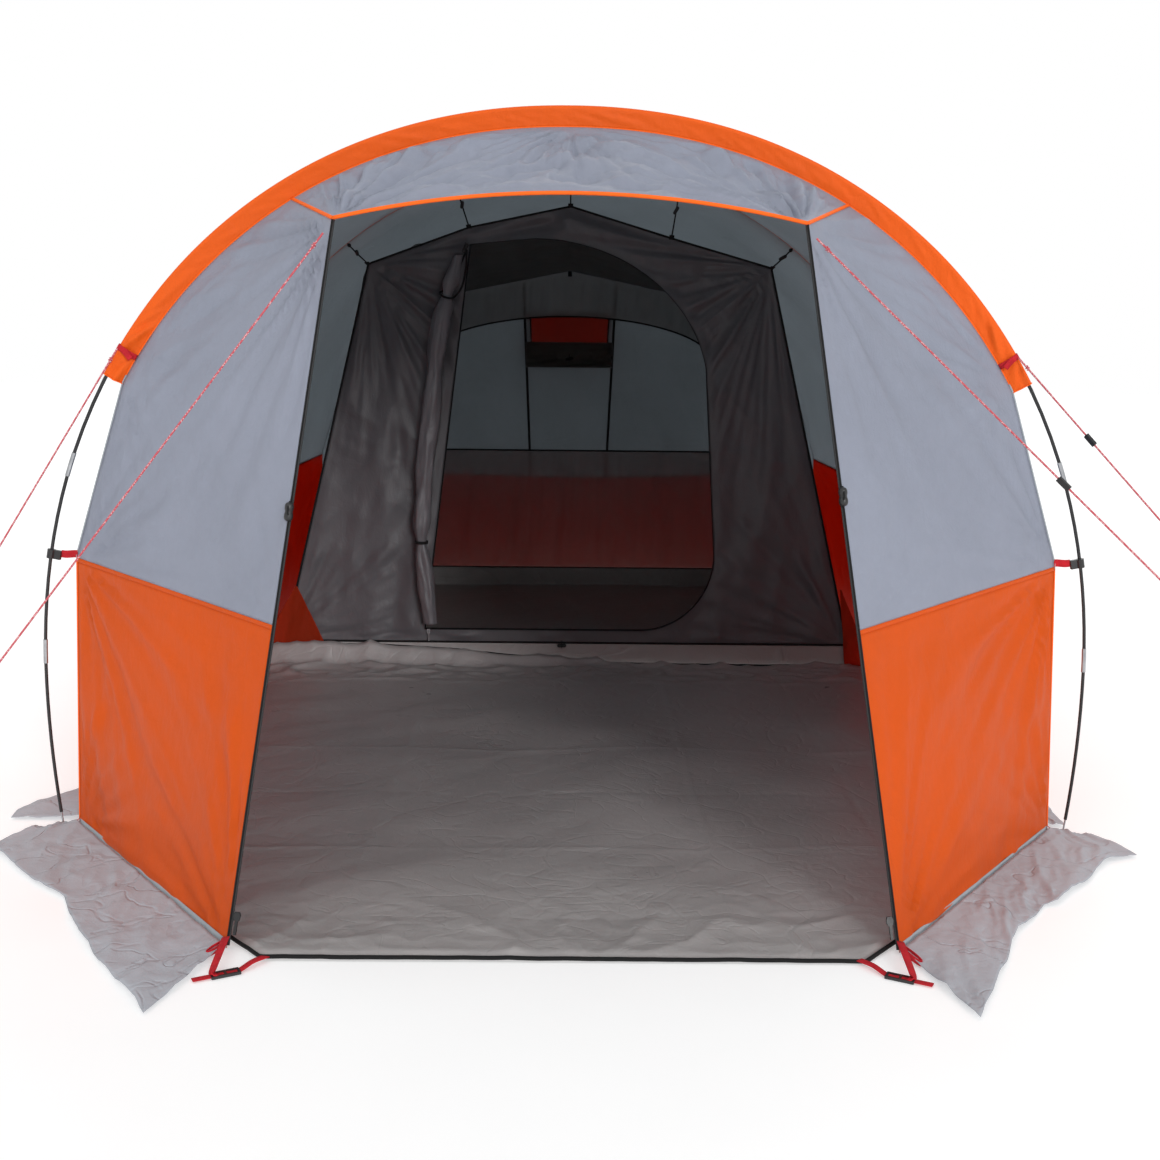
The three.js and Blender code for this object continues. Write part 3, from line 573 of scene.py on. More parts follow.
def sweep(name, points, section, material, side_hint=UP, scale=None):
    """A solid drawn along a line. section is a closed outline of (side, other) offsets."""
    points, tangent, side = frames_along(points, side_hint)
    other = np.cross(tangent, side)
    section = np.asarray(section, dtype=float)
    offsets = side[:, None] * section[None, :, :1] + other[:, None] * section[None, :, 1:]
    if scale is not None:
        offsets = offsets * scale[:, None, None]
    rings = points[:, None] + offsets
    count, sides = rings.shape[:2]
    ends = [list(range(sides))[::-1], [(count - 1) * sides + i for i in range(sides)]]
    return mesh_object(name, rings.reshape(-1, 3), grid_faces(count, sides, closed=True) + ends, [material])


def ring(radius, sides=12):
    angle = np.linspace(0, 2 * math.pi, sides, endpoint=False)
    return np.stack([np.cos(angle), np.sin(angle)], axis=1) * radius


def tube(name, points, radius, material, sides=12, scale=None):
    return sweep(name, points, ring(radius, sides), material, (0.31, 0.17, 0.94), scale)


def band_section(width, thickness):
    """A flat strap's section, with softened edges."""
    w, t = width / 2, thickness / 2
    bevel = 0.6 * t
    right = [(w, -t + bevel), (w, t - bevel), (w - bevel, t)]
    left = [(-w + bevel, t), (-w, t - bevel), (-w, -t + bevel)]
    return [*right, *left, (-w + bevel, -t), (w - bevel, -t)]


def strap(name, points, width, thickness, material, across):
    """A strap along a line. across says which way its width points."""
    return sweep(name, points, band_section(width, thickness), material, across)


def smooth_line(points, count):
    """A rounded line through given points."""
    points = np.asarray(points, dtype=float)
    padded = np.vstack([2 * points[0] - points[1], points, 2 * points[-1] - points[-2]])
    t = np.linspace(0, len(points) - 1 - 1e-6, count)
    i = t.astype(int)
    f = (t - i)[:, None]
    a, b, c, d = (padded[i + k] for k in range(4))
    square, cube = 2 * a - 5 * b + 4 * c - d, 3 * b - a - 3 * c + d
    return 0.5 * (2 * b + (c - a) * f + square * f**2 + cube * f**3)


def straight(a, b, count):
    t = np.linspace(0, 1, count)[:, None]
    return lerp(np.asarray(a, dtype=float), np.asarray(b, dtype=float), t)


def cornered_line(corners, count):
    """Straight lines from corner to corner, as one line."""
    corners = np.asarray(corners, dtype=float)
    runs = [straight(a, b, count)[:-1] for a, b in zip(corners, corners[1:])]
    return np.concatenate([*runs, corners[-1:]])


def join(name, objects):
    """Several meshes as one piece."""
    with bpy.context.temp_override(active_object=objects[0], selected_editable_objects=objects):
        bpy.ops.object.join()
    objects[0].name = name
    return objects[0]


# ---- Hoops -----------------------------------------------------------------------------------


class Arch:
    """A line over the tent, through points from its right foot to its left foot."""

    def __init__(self, line):
        self.line = line
        steps = np.linalg.norm(np.diff(line, axis=0), axis=1)
        self.lengths = np.concatenate([[0.0], np.cumsum(steps)])
        self.long = self.lengths[-1]
        along = np.gradient(line, axis=0)
        inward = np.stack([-along[:, 2], 0 * along[:, 1], along[:, 0]], axis=1)
        self.inward = inward / np.linalg.norm(inward, axis=1, keepdims=True)

    def read(self, values, length):
        return np.stack([np.interp(length, self.lengths, values[:, k]) for k in range(3)], axis=-1)

    def along(self, length):
        return self.read(self.line, length)

    def inward_at(self, length):
        return self.read(self.inward, length)

    def length_to(self, z):
        """Length from the right foot to where the line first reaches a height."""
        i = int(np.argmax(self.line[:, 2] >= z))
        z0, z1 = self.line[i - 1, 2], self.line[i, 2]
        return lerp(self.lengths[i - 1], self.lengths[i], (z - z0) / (z1 - z0))

    def at_height(self, z):
        return self.along(self.length_to(z))


def pole_arch(node, y):
    """A superellipse on two legs that curve in towards the ground."""
    corner = high(node)
    half, rise = corner[0] - POLE_R, corner[2] - POLE_R - KNEE_Z
    t = np.linspace(0, 1, 9)[1:]
    leg_x, leg_z = half - FOOT_LEAN * t**2, KNEE_Z * (1 - t)
    angle = np.linspace(0, math.pi, 401)
    c, s = np.cos(angle), np.abs(np.sin(angle))
    top_x = half * np.sign(c) * np.abs(c) ** (2 / HOOP_POWER)
    top_z = KNEE_Z + rise * s ** (2 / HOOP_POWER)
    x = np.concatenate([leg_x[::-1], top_x, -leg_x])
    z = np.concatenate([leg_z[::-1], top_z, leg_z])
    return Arch(np.stack([x, np.full_like(x, y), z], axis=1))


def seam_arch(pole):
    """The flysheet's seam: beside the sleeve, then straight to the pole's clip and to the ground."""
    beside_sleeve = (pole.line + pole.inward * FIN)[pole.line[:, 2] >= SLEEVE_LOW]
    foot = pole.line[0] - [INSET_AT_FOOT, 0, 0]
    clip = pole.at_height(CLIP_Z) - [INSET_AT_CLIP, 0, 0]
    leg = np.array([foot, clip])
    return Arch(np.concatenate([leg, beside_sleeve, leg[::-1] * [-1, 1, 1]]))


FRONT_POLE = pole_arch("rear_pole", FRONT_Y)  # the two end hoops are alike
MID_POLE = pole_arch("mid_pole", MID_Y)
REAR_POLE = pole_arch("rear_pole", REAR_Y)
FRONT_SEAM = seam_arch(FRONT_POLE)
MID_SEAM = seam_arch(MID_POLE)
REAR_SEAM = seam_arch(REAR_POLE)
HOOPS = (("front", FRONT_POLE, FRONT_SEAM), ("mid", MID_POLE, MID_SEAM), ("rear", REAR_POLE, REAR_SEAM))

# ---- Guylines --------------------------------------------------------------------------------

GUY_R = 0.0024
HOOP_TIE = FRONT_POLE.at_height(1.297)
PORCH_TIE = DOOR_TOP + np.array([0.018, -0.025, -0.036])
PEG_Z = 0.012
GUYLINES = {
    "left_hoop": ((-HOOP_TIE[0] - 0.006, -0.016, HOOP_TIE[2]), (-1.935, -0.200, PEG_Z)),
    "right_hoop": ((HOOP_TIE[0] + 0.006, -0.016, HOOP_TIE[2]), (2.185, -0.700, PEG_Z)),
    "left_porch": ((-PORCH_TIE[0], PORCH_TIE[1] - FRONT_Y, PORCH_TIE[2]), (-1.740, -0.600, PEG_Z)),
    "right_porch": ((PORCH_TIE[0], PORCH_TIE[1] - FRONT_Y, PORCH_TIE[2]), (2.100, -1.000, PEG_Z)),
}


def knot(name, at, along):
    """Two turns of the cord round itself."""
    t = np.linspace(0, 4 * math.pi, 40)
    side = unit(np.cross(along, UP))
    up = np.cross(side, along)
    turns = np.outer(np.cos(t), side) * 0.0035 + np.outer(np.sin(t), up) * 0.0035
    return ride(tube(name, at + np.outer(t * 0.0009, along) + turns, 0.0019, CORD, 8))


def guyline(name, start, end):
    """A taut braided cord from its tie point to its peg, knotted at each end."""
    start, end = (np.array(p) + BACK * FRONT_Y for p in (start, end))
    curve = bpy.data.curves.new(f"{name}_cord", "CURVE")
    curve.dimensions = "3D"
    curve.bevel_depth = GUY_R
    curve.bevel_resolution = 3
    curve.use_fill_caps = True
    spline = curve.splines.new("POLY")
    points = straight(start, end, 24)
    spline.points.add(len(points) - 1)
    for point, p in zip(spline.points, points):
        point.co = (*p, 1.0)
    curve.materials.append(CORD)
    obj = bpy.data.objects.new(f"{name}_cord", curve)
    bpy.context.scene.collection.objects.link(obj)
    ride(obj, nodes=[f"{name}_guyline"])
    along = unit(end - start)
    knots = [
        knot(f"{name}_top_knot", start + along * 0.03, along),
        knot(f"{name}_peg_knot", end - along * 0.05, along),
    ]


for guy_name, (guy_start, guy_end) in GUYLINES.items():
    guyline(guy_name, guy_start, guy_end)

# ---- Flysheet --------------------------------------------------------------------------------

FINE = 0.014  # distance between the points of a cloth panel
HEM_LOW = 0.003  # the flysheet's walls touch the ground no lower than this
GREY_FLY = ([GREY, GREY_INSIDE], "grey_flysheet")
ORANGE_FLY = ([ORANGE, ORANGE_INSIDE], "orange_flysheet")


def count_for(length):
    return max(int(length / FINE), 8)


def roof_line(seam, count):
    start = seam.length_to(BAND_Z)
    return seam.along(np.linspace(start, seam.long - start, count))


def side_line(seam, side, lower, upper, count):
    """Points up one side of a seam, between two lengths from the foot."""
    return seam.along(np.linspace(lower, upper, count)) * np.array([side, 1, 1])


def bay_roof(node, first, last):
    columns = count_for(first.long)
    rows = count_for(1.87)
    flat = ruled(roof_line(first, columns), roof_line(last, columns), rows)
    sag = BAY_SAG * np.sin(math.pi * np.linspace(0, 1, rows))[:, None]
    angle = math.pi * np.linspace(0, 1, columns)[None]
    flat = flat - np.stack([sag * np.cos(angle), 0 * sag * angle, sag * np.sin(angle)], axis=-1)
    flat = facing(flat, (flat - np.array([0, 0, 0.6])) * [1, 0, 1])
    top = flat[0, columns // 2]
    wrinkled = relief(
        flat,
        [
            pulled(flat, BACK, 0.20, 1.4, 0.007, 1.0),
            pulled(flat, (0.5, 1, 0.3), 0.14, 0.7, 0.003, 4.0),
            fans(flat, flat[[0, 0, -1, -1], [0, -1, 0, -1]], 7, 0.012, 0.8, 2.0),
            fan(flat, top, 6, 0.006, 0.7, 6.0),
            creased(flat, 0.40, 0.0022, 3.0),
        ],
        (0.08, 0.08, 0.05, 0.05),
    )
    panel(node, wrinkled, flat, *GREY_FLY)


def lower_wall(side_name, side):
    rows = count_for(1.9)
    columns = count_for(BAND_Z)
    seams = (FRONT_SEAM, MID_SEAM, REAR_SEAM)
    lines = [side_line(s, side, 0.004, s.length_to(BAND_Z), columns) for s in seams]
    sag = side * BAY_SAG * np.sin(math.pi * np.linspace(0, 1, rows))[:, None]
    bays = []
    for first, last in zip(lines, lines[1:]):
        bay = ruled(first, last, rows)
        bay[..., 0] -= sag * bay[..., 2] / BAND_Z
        bays.append(bay)
    flat = facing(np.concatenate([bays[0], bays[1][1:]]), np.array([side, 0, 0]))
    ends = [np.array([side * 1.33, y, BAND_Z]) for y in (FRONT_Y, MID_Y, REAR_Y)]
    wrinkled = relief(
        flat,
        [
            pulled(flat, UP, 0.16, 0.8, 0.006, 2.0),
            fans(flat, ends, 8, 0.012, 0.7, 3.0),
            fan(flat, (side * 1.38, MID_Y, 0.0), 8, 0.012, 0.6, 9.0),
            creased(flat, 0.32, 0.0024, 5.0),
        ],
        (0.06, 0.06, 0.03, 0.03),
    )
    wrinkled[..., 2] = np.maximum(wrinkled[..., 2], HEM_LOW)
    panel(f"{side_name}_lower_wall", wrinkled, flat, *ORANGE_FLY)


def door_edge(side, z):
    t = np.asarray(z, dtype=float)[..., None] / DOOR_TOP[2]
    return lerp(DOOR_BOTTOM, DOOR_TOP, t) * np.array([side, 1, 1])


CANOPY_START = FRONT_SEAM.lengths[
    int(np.argmax((FRONT_SEAM.line[:, 2] > BAND_Z) & (FRONT_SEAM.line[:, 0] <= CANOPY_X)))
]


def outward_of_porch(side):
    return unit([side * 0.7, -0.7, 0.2])


def porch_upper(side_name, side):
    columns = count_for(1.2)
    hoop = side_line(FRONT_SEAM, side, FRONT_SEAM.length_to(BAND_Z), CANOPY_START, columns)
    door = door_edge(side, np.linspace(DOOR_BAND_Z, DOOR_TOP[2], columns))
    flat = facing(ruled(hoop, door, count_for(0.75)), outward_of_porch(side))
    corner = DOOR_TOP * [side, 1, 1]
    clip = hoop[0]
    strap_end = FRONT_SEAM.at_height(SLEEVE_LOW) * [side, 1, 1]
    wrinkled = relief(
        flat,
        [
            pulled(flat, clip - corner, 0.17, 1.1, 0.006, 1.0 + side),
            fan(flat, corner, 9, 0.012, 0.75, 2.0 + side),
            fan(flat, clip, 8, 0.012, 0.55, 6.0 + side),
            fan(flat, strap_end, 9, 0.008, 0.40, 4.0 + side),
            fan(flat, door_edge(side, DOOR_BAND_Z), 8, 0.006, 0.4, 8.0),
            creased(flat, 0.34, 0.0022, 7.0 + side),
        ],
        (0.04, 0.05, 0.04, 0.04),
    )
    panel(f"{side_name}_porch_upper_wall", wrinkled, flat, *GREY_FLY)


def porch_lower(side_name, side):
    columns = count_for(BAND_Z)
    hoop = side_line(FRONT_SEAM, side, 0.004, FRONT_SEAM.length_to(BAND_Z), columns)
    door = door_edge(side, np.linspace(0.004, DOOR_BAND_Z, columns))
    flat = facing(ruled(hoop, door, count_for(1.0)), outward_of_porch(side))
    wrinkled = relief(
        flat,
        [
            pulled(flat, door[0] - hoop[-1], 0.15, 1.0, 0.008, 3.0 + side),
            fan(flat, hoop[-1], 8, 0.015, 0.7, 4.0 + side),
            fan(flat, door[0], 8, 0.015, 0.6, 5.0 + side),
            fan(flat, hoop[0], 8, 0.012, 0.45, 6.0 + side),
            creased(flat, 0.30, 0.0024, 8.0 + side),
        ],
        (0.04, 0.05, 0.03, 0.04),
    )
    wrinkled[..., 2] = np.maximum(wrinkled[..., 2], HEM_LOW)
    panel(f"{side_name}_porch_lower_wall", wrinkled, flat, *ORANGE_FLY)


def door_top(t):
    x = lerp(DOOR_TOP[0], -DOOR_TOP[0], t)
    z = DOOR_TOP[2] + DOOR_RISE * 4 * t * (1 - t)
    return np.stack([x, np.full_like(x, DOOR_TOP[1]), z], axis=-1)


def canopy():
    """The porch's front roof, slack enough to crease from its two front corners."""
    columns = 2 * count_for(1.6)
    hoop = FRONT_SEAM.along(np.linspace(CANOPY_START, FRONT_SEAM.long - CANOPY_START, columns))
    edge = door_top(np.linspace(0, 1, columns))
    flat = facing(ruled(hoop, edge, 2 * count_for(0.55)), np.array([0, -0.6, 0.8]))
    crown = FRONT_SEAM.along(FRONT_SEAM.long / 2)
    wrinkled = relief(
        flat,
        [
            pulled(flat, (1, -0.8, -0.2), 0.10, 0.7, 0.013, 2.0),
            pulled(flat, (1, 0.9, 0.2), 0.09, 0.6, 0.011, 9.0),
            fans(flat, both_sides(DOOR_TOP), 9, 0.028, 0.7, 3.0),
            fan(flat, crown, 9, 0.013, 0.5, 6.0),
            creased(flat, 0.16, 0.0055, 5.0),
        ],
        (0.07, 0.07, 0.05, 0.05),
    )
    panel("porch_canopy", wrinkled, flat, *GREY_FLY)


bay_roof("front_bay_roof", FRONT_SEAM, MID_SEAM)
bay_roof("rear_bay_roof", MID_SEAM, REAR_SEAM)
for label, sign in SIDES:
    lower_wall(label, sign)
    porch_upper(label, sign)
    porch_lower(label, sign)
canopy()

# ---- Rear wall -------------------------------------------------------------------------------

REAR_CORNER_SHARE = 0.25  # of the way round the hem, from a pole's foot to a corner


def rear_hem(u):
    """The rear wall's hem, from the right pole's foot round two corners to the left one."""
    s = np.minimum(u, 1 - u)[..., None]
    side = np.where(u < 0.5, 1.0, -1.0)[..., None]
    near = lerp(REAR_SEAM.line[0], REAR_CORNER, np.clip(s / REAR_CORNER_SHARE, 0, 1))
    past_corner = np.clip((s - REAR_CORNER_SHARE) / (0.5 - REAR_CORNER_SHARE), 0, 1)
    far = lerp(REAR_CORNER, REAR_CORNER * [0, 1, 1], past_corner)
    point = np.where(s < REAR_CORNER_SHARE, near, far)
    return point * np.concatenate([side, np.ones_like(side), np.ones_like(side)], axis=-1)


def rear_top(u):
    start = REAR_SEAM.length_to(0.02)
    return REAR_SEAM.along(lerp(start, REAR_SEAM.long - start, u))


def rear_band_share(u):
    band = BAND_Z - REAR_BAND_DROP * np.sin(math.pi * u)
    return np.minimum(band / rear_top(u)[..., 2], 1.0)


def rear_band_start():
    """How far round the rear wall its edge along the hoop rises past the band."""
    u = np.linspace(0, 0.5, 4000)
    return float(u[np.argmax(rear_band_share(u) < 1)])


def rear_wall_point(u, share):
    return lerp(rear_hem(u), rear_top(u), share[..., None])


def rear_share_at(x, z):
    """How far across the rear wall a place x to the right of its middle lies, at a height."""
    u = np.linspace(0.35, 0.5, 2000)
    line = rear_wall_point(u, z / rear_top(u)[..., 2])[:, 0]
    return float(np.interp(-x, -line, u))


VENT_U = rear_share_at(VENT_HALF, (VENT_LOW + VENT_HIGH) / 2)


def rear_levels(u):
    """Rows of the rear wall's upper part, as shares of the way up. Near the middle they keep to the
    vent's edges, and towards the sides they spread evenly."""
    band = rear_band_share(u)
    near = smoothstep((np.minimum(u, 1 - u) - REAR_CORNER_SHARE) / (VENT_U - REAR_CORNER_SHARE))
    rise = rear_top(u)[:, 2]
    vent_low = lerp(lerp(band, 1, 0.5), VENT_LOW / rise, near)
    vent_high = lerp(lerp(band, 1, 0.75), VENT_HIGH / rise, near)
    return [band, vent_low, vent_high, np.ones_like(u)]


def rear_upper():
    side = np.linspace(rear_band_start(), VENT_U, 90)
    vent = np.linspace(VENT_U, 1 - VENT_U, 30)
    u = np.concatenate([side, vent[1:-1], 1 - side[::-1]])
    levels = rear_levels(u)
    counts = (40, 18, 24)
    shares = []
    for lower, upper, count in zip(levels, levels[1:], counts):
        shares += [lerp(lower, upper, t) for t in np.linspace(0, 1, count)[:-1]]
    flat = np.array([rear_wall_point(u, s) for s in [*shares, levels[-1]]])
    rows, columns = flat.shape[:2]
    skip = np.zeros((rows - 1, columns - 1), dtype=bool)
    first_row = counts[0] - 1
    skip[first_row : first_row + counts[1] - 1, len(side) - 1 : -len(side) + 1] = True
    if np.mean(normals_of(flat)[..., 1]) < 0:
        flat, skip = flat[:, ::-1], skip[:, ::-1]
    wrinkled = relief(
        flat,
        [
            pulled(flat, UP, 0.15, 0.9, 0.006, 1.0),
            fans(flat, both_sides(REAR_CORNER), 12, 0.014, 1.2, 2.0),
            fans(flat, both_sides(REAR_SEAM.at_height(SLEEVE_LOW)), 9, 0.012, 0.5, 5.0),
            creased(flat, 0.30, 0.0024, 4.0),
        ],
        (0.05, 0.05, 0.04, 0.04),
    )
    panel("rear_wall_upper", wrinkled, flat, *GREY_FLY, skip=skip)


def rear_lower():
    u = np.linspace(0.008, 0.992, 220)
    flat = np.array([rear_wall_point(u, s * rear_band_share(u)) for s in np.linspace(0.004, 1, 50)])
    flat = facing(flat, BACK, across=True)
    wrinkled = relief(
        flat,
        [
            pulled(flat, (1, 0, 0.5), 0.16, 0.9, 0.007, 5.0),
            fans(flat, both_sides(REAR_CORNER), 9, 0.015, 0.6, 6.0),
            creased(flat, 0.28, 0.0024, 8.0),
        ],
        (0.03, 0.05, 0.02, 0.02),
    )
    wrinkled[..., 2] = np.maximum(wrinkled[..., 2], HEM_LOW)
    panel("rear_wall_lower", wrinkled, flat, *ORANGE_FLY)


rear_upper()
rear_lower()

# ---- Pole sleeves ----------------------------------------------------------------------------

SLEEVE_R = 0.0085
STRAP_Z = HOOP_TIE[2]  # height of the strap that takes the hoop's guyline


def sleeve_outline():
    """A sleeve's section as (inward, sideways): full round the pole, then flat to its seam."""
    angle = np.linspace(-1.9, 1.9, 15)
    round_part = list(zip(-SLEEVE_R * np.cos(angle), SLEEVE_R * np.sin(angle)))
    inwards = np.linspace(0.010, FIN, 7)
    thick = 0.0010 + 0.0060 * (1 - inwards / FIN) ** 1.4
    flat_part = list(zip(inwards, thick))
    back_part = list(zip(inwards[::-1], -thick[::-1]))
    return np.array(round_part + flat_part + back_part)


def sleeve(label, pole):
    """A cloth tunnel sewn flat onto the flysheet's seam, puckered along it and near its ends."""
    start = pole.length_to(SLEEVE_LOW)
    s = np.linspace(start, pole.long - start, 620)
    centre, inward = pole.along(s), pole.inward_at(s)
    outline = sleeve_outline()
    inwards, sideways = outline[:, 0][None, :], outline[:, 1][None, :]
    lengths = s[:, None] + 0 * inwards
    across = inwards + 0 * lengths
    which_skin = np.sign(sideways) * 3 + 0 * lengths
    to_end = np.minimum(lengths - start, pole.long - start - lengths)
    to_strap = np.abs(to_end - (pole.length_to(STRAP_Z) - start))
    loose = smoothstep((FIN - across) / 0.02) * smoothstep((across + 0.002) / 0.012)
    slant = np.stack([lengths / 0.075 + across / 0.03, across / 0.06, which_skin], axis=-1)
    near_end = np.exp(-((to_end / 0.26) ** 2))
    pucker = (0.0045 + 0.0180 * near_end) * np.abs(NOISE.layers(slant, 2)) * loose
    slow = np.stack([lengths / 0.3, 0 * lengths + 5, 0 * lengths], axis=-1)
    wave = 0.0025 * NOISE(slow) * smoothstep((FIN - across) / 0.05)
    pinch = 1 - 0.6 * np.exp(-((to_strap / 0.016) ** 2)) * loose
    side = (sideways + np.sign(sideways) * pucker) * pinch + wave
    rings = centre[:, None] + inward[:, None] * across[..., None] + BACK * side[..., None]
    faces = grid_faces(len(s), len(outline), closed=True)
    name = f"{label}_pole_sleeve"
    obj = mesh_object(f"{name}_cloth", rings.reshape(-1, 3), faces, [SLEEVE])
    thicken(obj, 0.0008)
    ride(obj, nodes=[name])
    hems = []
    for end in (0, -1):
        rim = rings[end] + (rings[end] - centre[end]) * 0.03
        hems.append(tube(f"{name}_hem", np.vstack([rim, rim[:1]]), 0.0016, PIPING, 8))
    ride(join(f"{name}_hems", hems))


for hoop_name, hoop_pole, _ in HOOPS:
    sleeve(hoop_name, hoop_pole)

# ---- Mud flaps -------------------------------------------------------------------------------

FLAP_CLEAR = 0.007  # from the hem to a flap's inner edge
FLAP_WIDTH = 0.2
NOTCH = 0.04  # how far the flaps stop short of a pole's foot
END_HALF = high("rear_pole")[0] - POLE_R


def hem_x(pole):
    return pole.line[0, 0] - INSET_AT_FOOT


def spread_along(line, count):
    """Points at even steps along a line."""
    line = np.asarray(line, dtype=float)
    lengths = np.concatenate([[0], np.cumsum(np.linalg.norm(np.diff(line, axis=0), axis=1))])
    t = np.linspace(0, lengths[-1], count)
    return np.stack([np.interp(t, lengths, line[:, k]) for k in range(line.shape[1])], axis=1)


def flap(node, inner, outer, seed):
    """Cloth from a hem out to a ragged edge, lying on the ground in folds."""
    long = float(np.sum(np.linalg.norm(np.diff(np.asarray(inner, dtype=float), axis=0), axis=1)))
    count = max(int(long / 0.008), 30)
    a, b = spread_along(inner, count), spread_along(outer, count)
    share = np.linspace(0, 1, 30)[:, None]
    plane = lerp(a[None], b[None], share[..., None])
    flat = np.concatenate([plane, np.full(plane.shape[:2] + (1,), 0.004)], axis=-1)
    t = steps_along(flat, 1)
    slow = NOISE(np.stack([t / 0.30, 0 * t + seed, 0 * t], axis=-1))
    tucks = NOISE.ridges(np.stack([t / 0.17 + share * 0.7, share * 0.9 + 0 * t, 0 * t + seed], axis=-1))
    outward = np.concatenate([b - a, np.zeros((count, 1))], axis=1)
    outward /= np.linalg.norm(outward, axis=1, keepdims=True)
    drawn_in = share * (0.003 + 0.010 * smoothstep(np.abs(slow) * 2))
    grid = flat - outward[None] * drawn_in[..., None]
    lifted = share * 0.010 * np.abs(slow) + 0.009 * tucks * np.sin(share * 2.6)
    small = 0.0030 * NOISE.ridges(flat / 0.15 + seed) + 0.0010 * NOISE.ridges(flat / 0.05 + seed)
    grid[..., 2] = 0.003 + lifted + small + 0.012 * (1 - share) ** 4
    if np.mean(normals_of(grid) @ UP) < 0:
        grid, flat = grid[::-1], flat[::-1]
    panel(node, grid, flat, [FLAP], "flap_cloth", "laid", SHEET_THICK)


FLAP_SPREAD = {  # how wide each side flap lies, where it is tucked in: (distance back, width)
    "left": [(0.14, FLAP_WIDTH), (0.30, 0.080), (0.70, 0.075), (1.05, 0.170), (1.60, FLAP_WIDTH)],
    "right": [(0.10, 0.060), (0.55, 0.065), (0.90, 0.165), (1.60, FLAP_WIDTH)],
}


def side_flap(label, side):
    y = np.linspace(FRONT_Y + NOTCH, REAR_Y - NOTCH, 90)
    bulge = np.clip(1 - np.abs(y - MID_Y) / (MID_Y - FRONT_Y), 0, 1)
    hem = lerp(hem_x(FRONT_POLE), hem_x(MID_POLE), bulge) + FLAP_CLEAR
    inner = np.stack([side * hem, y], axis=1)
    distance, width = np.array(FLAP_SPREAD[label]).T
    outer = np.stack([side * (hem + np.interp(y - FRONT_Y, distance, width)), y], axis=1)
    flap(f"{label}_mud_flap", inner, outer, 3.0 + side)


FLAP_NICKS = {  # where each porch flap is folded in: share of the way back, and how far
    "left": [(0.40, 0.012), (0.60, 0.057), (0.72, 0.030)],
    "right": [(0.41, 0.080), (0.57, 0.086), (0.60, 0.058), (0.93, 0.043)],
}


def porch_flap(label, side):
    corner = DOOR_BOTTOM[:2] * [side, 1]
    foot = np.array([side * hem_x(FRONT_POLE), FRONT_Y])
    run = foot - corner
    out = np.array([run[1], -run[0]]) / np.linalg.norm(run) * side
    tip = np.array([side * (DOOR_BOTTOM[0] + 0.090), low(f"{label}_porch_mud_flap")[1]])
    wide = np.array([side * (END_HALF + 0.110), FRONT_Y - 0.190])
    end = np.array([side * (END_HALF + 0.055), FRONT_Y - NOTCH])
    nicks = FLAP_NICKS[label]
    edge = [tip, *[lerp(tip, wide, share) - out * deep for share, deep in nicks], wide, end]
    flap(f"{label}_porch_mud_flap", [corner + out * FLAP_CLEAR, foot + out * FLAP_CLEAR], edge, 6.0 + side)


def rear_flap():
    clear = FLAP_CLEAR + 0.002
    hem_y = REAR_CORNER[1] + clear
    edge_y = high("rear_mud_flap")[1]
    inner = [[hem_x(REAR_POLE) + clear, REAR_Y + NOTCH], [REAR_CORNER[0] + 0.008, hem_y]]
    outer = [[END_HALF + 0.110, REAR_Y + NOTCH], [REAR_CORNER[0] + 0.130, edge_y]]
    inner += [[-x, y] for x, y in reversed(inner)]
    outer += [[-x, y] for x, y in reversed(outer)]
    flap("rear_mud_flap", inner, outer, 11.0)


for label, sign in SIDES:
    side_flap(label, sign)
    porch_flap(label, sign)
rear_flap()

# ---- Groundsheet and inner floor -------------------------------------------------------------


def folded_sheet(grid, spacing, depth, seed):
    """Straight fold lines both ways, as a packed sheet keeps, and soft hollows between them."""
    x, y = grid[..., 0], grid[..., 1]
    height = np.zeros_like(x)
    rng = np.random.default_rng(int(seed * 10))
    for value, other in ((x, y), (y, x)):
        lines = np.arange(value.min() + spacing / 2, value.max(), spacing)
        for k, line in enumerate(lines):
            same = 0 * other
            bend = 0.012 * NOISE(np.stack([other / 0.5, same + k, same + seed], axis=-1))
            offset = value - line - rng.normal() * 0.02 - bend
            strength = 0.6 + 0.6 * NOISE(np.stack([other / 0.6, same + k + 30, same + seed], axis=-1))
            height += depth * strength * np.exp(-np.abs(offset) / 0.012) * (1 if k % 2 else -0.6)
    broad = 0.015 * NOISE(grid / 0.50 + seed)
    slanted = pulled(grid, (0.8, 0.6, 0), 0.22, 0.9, 0.004, seed)
    return height + broad + slanted


SHEET_CUT_Y = FRONT_Y - 0.705  # where the sheet's cut front corners end
SHEET_CUT_HALF = 0.780


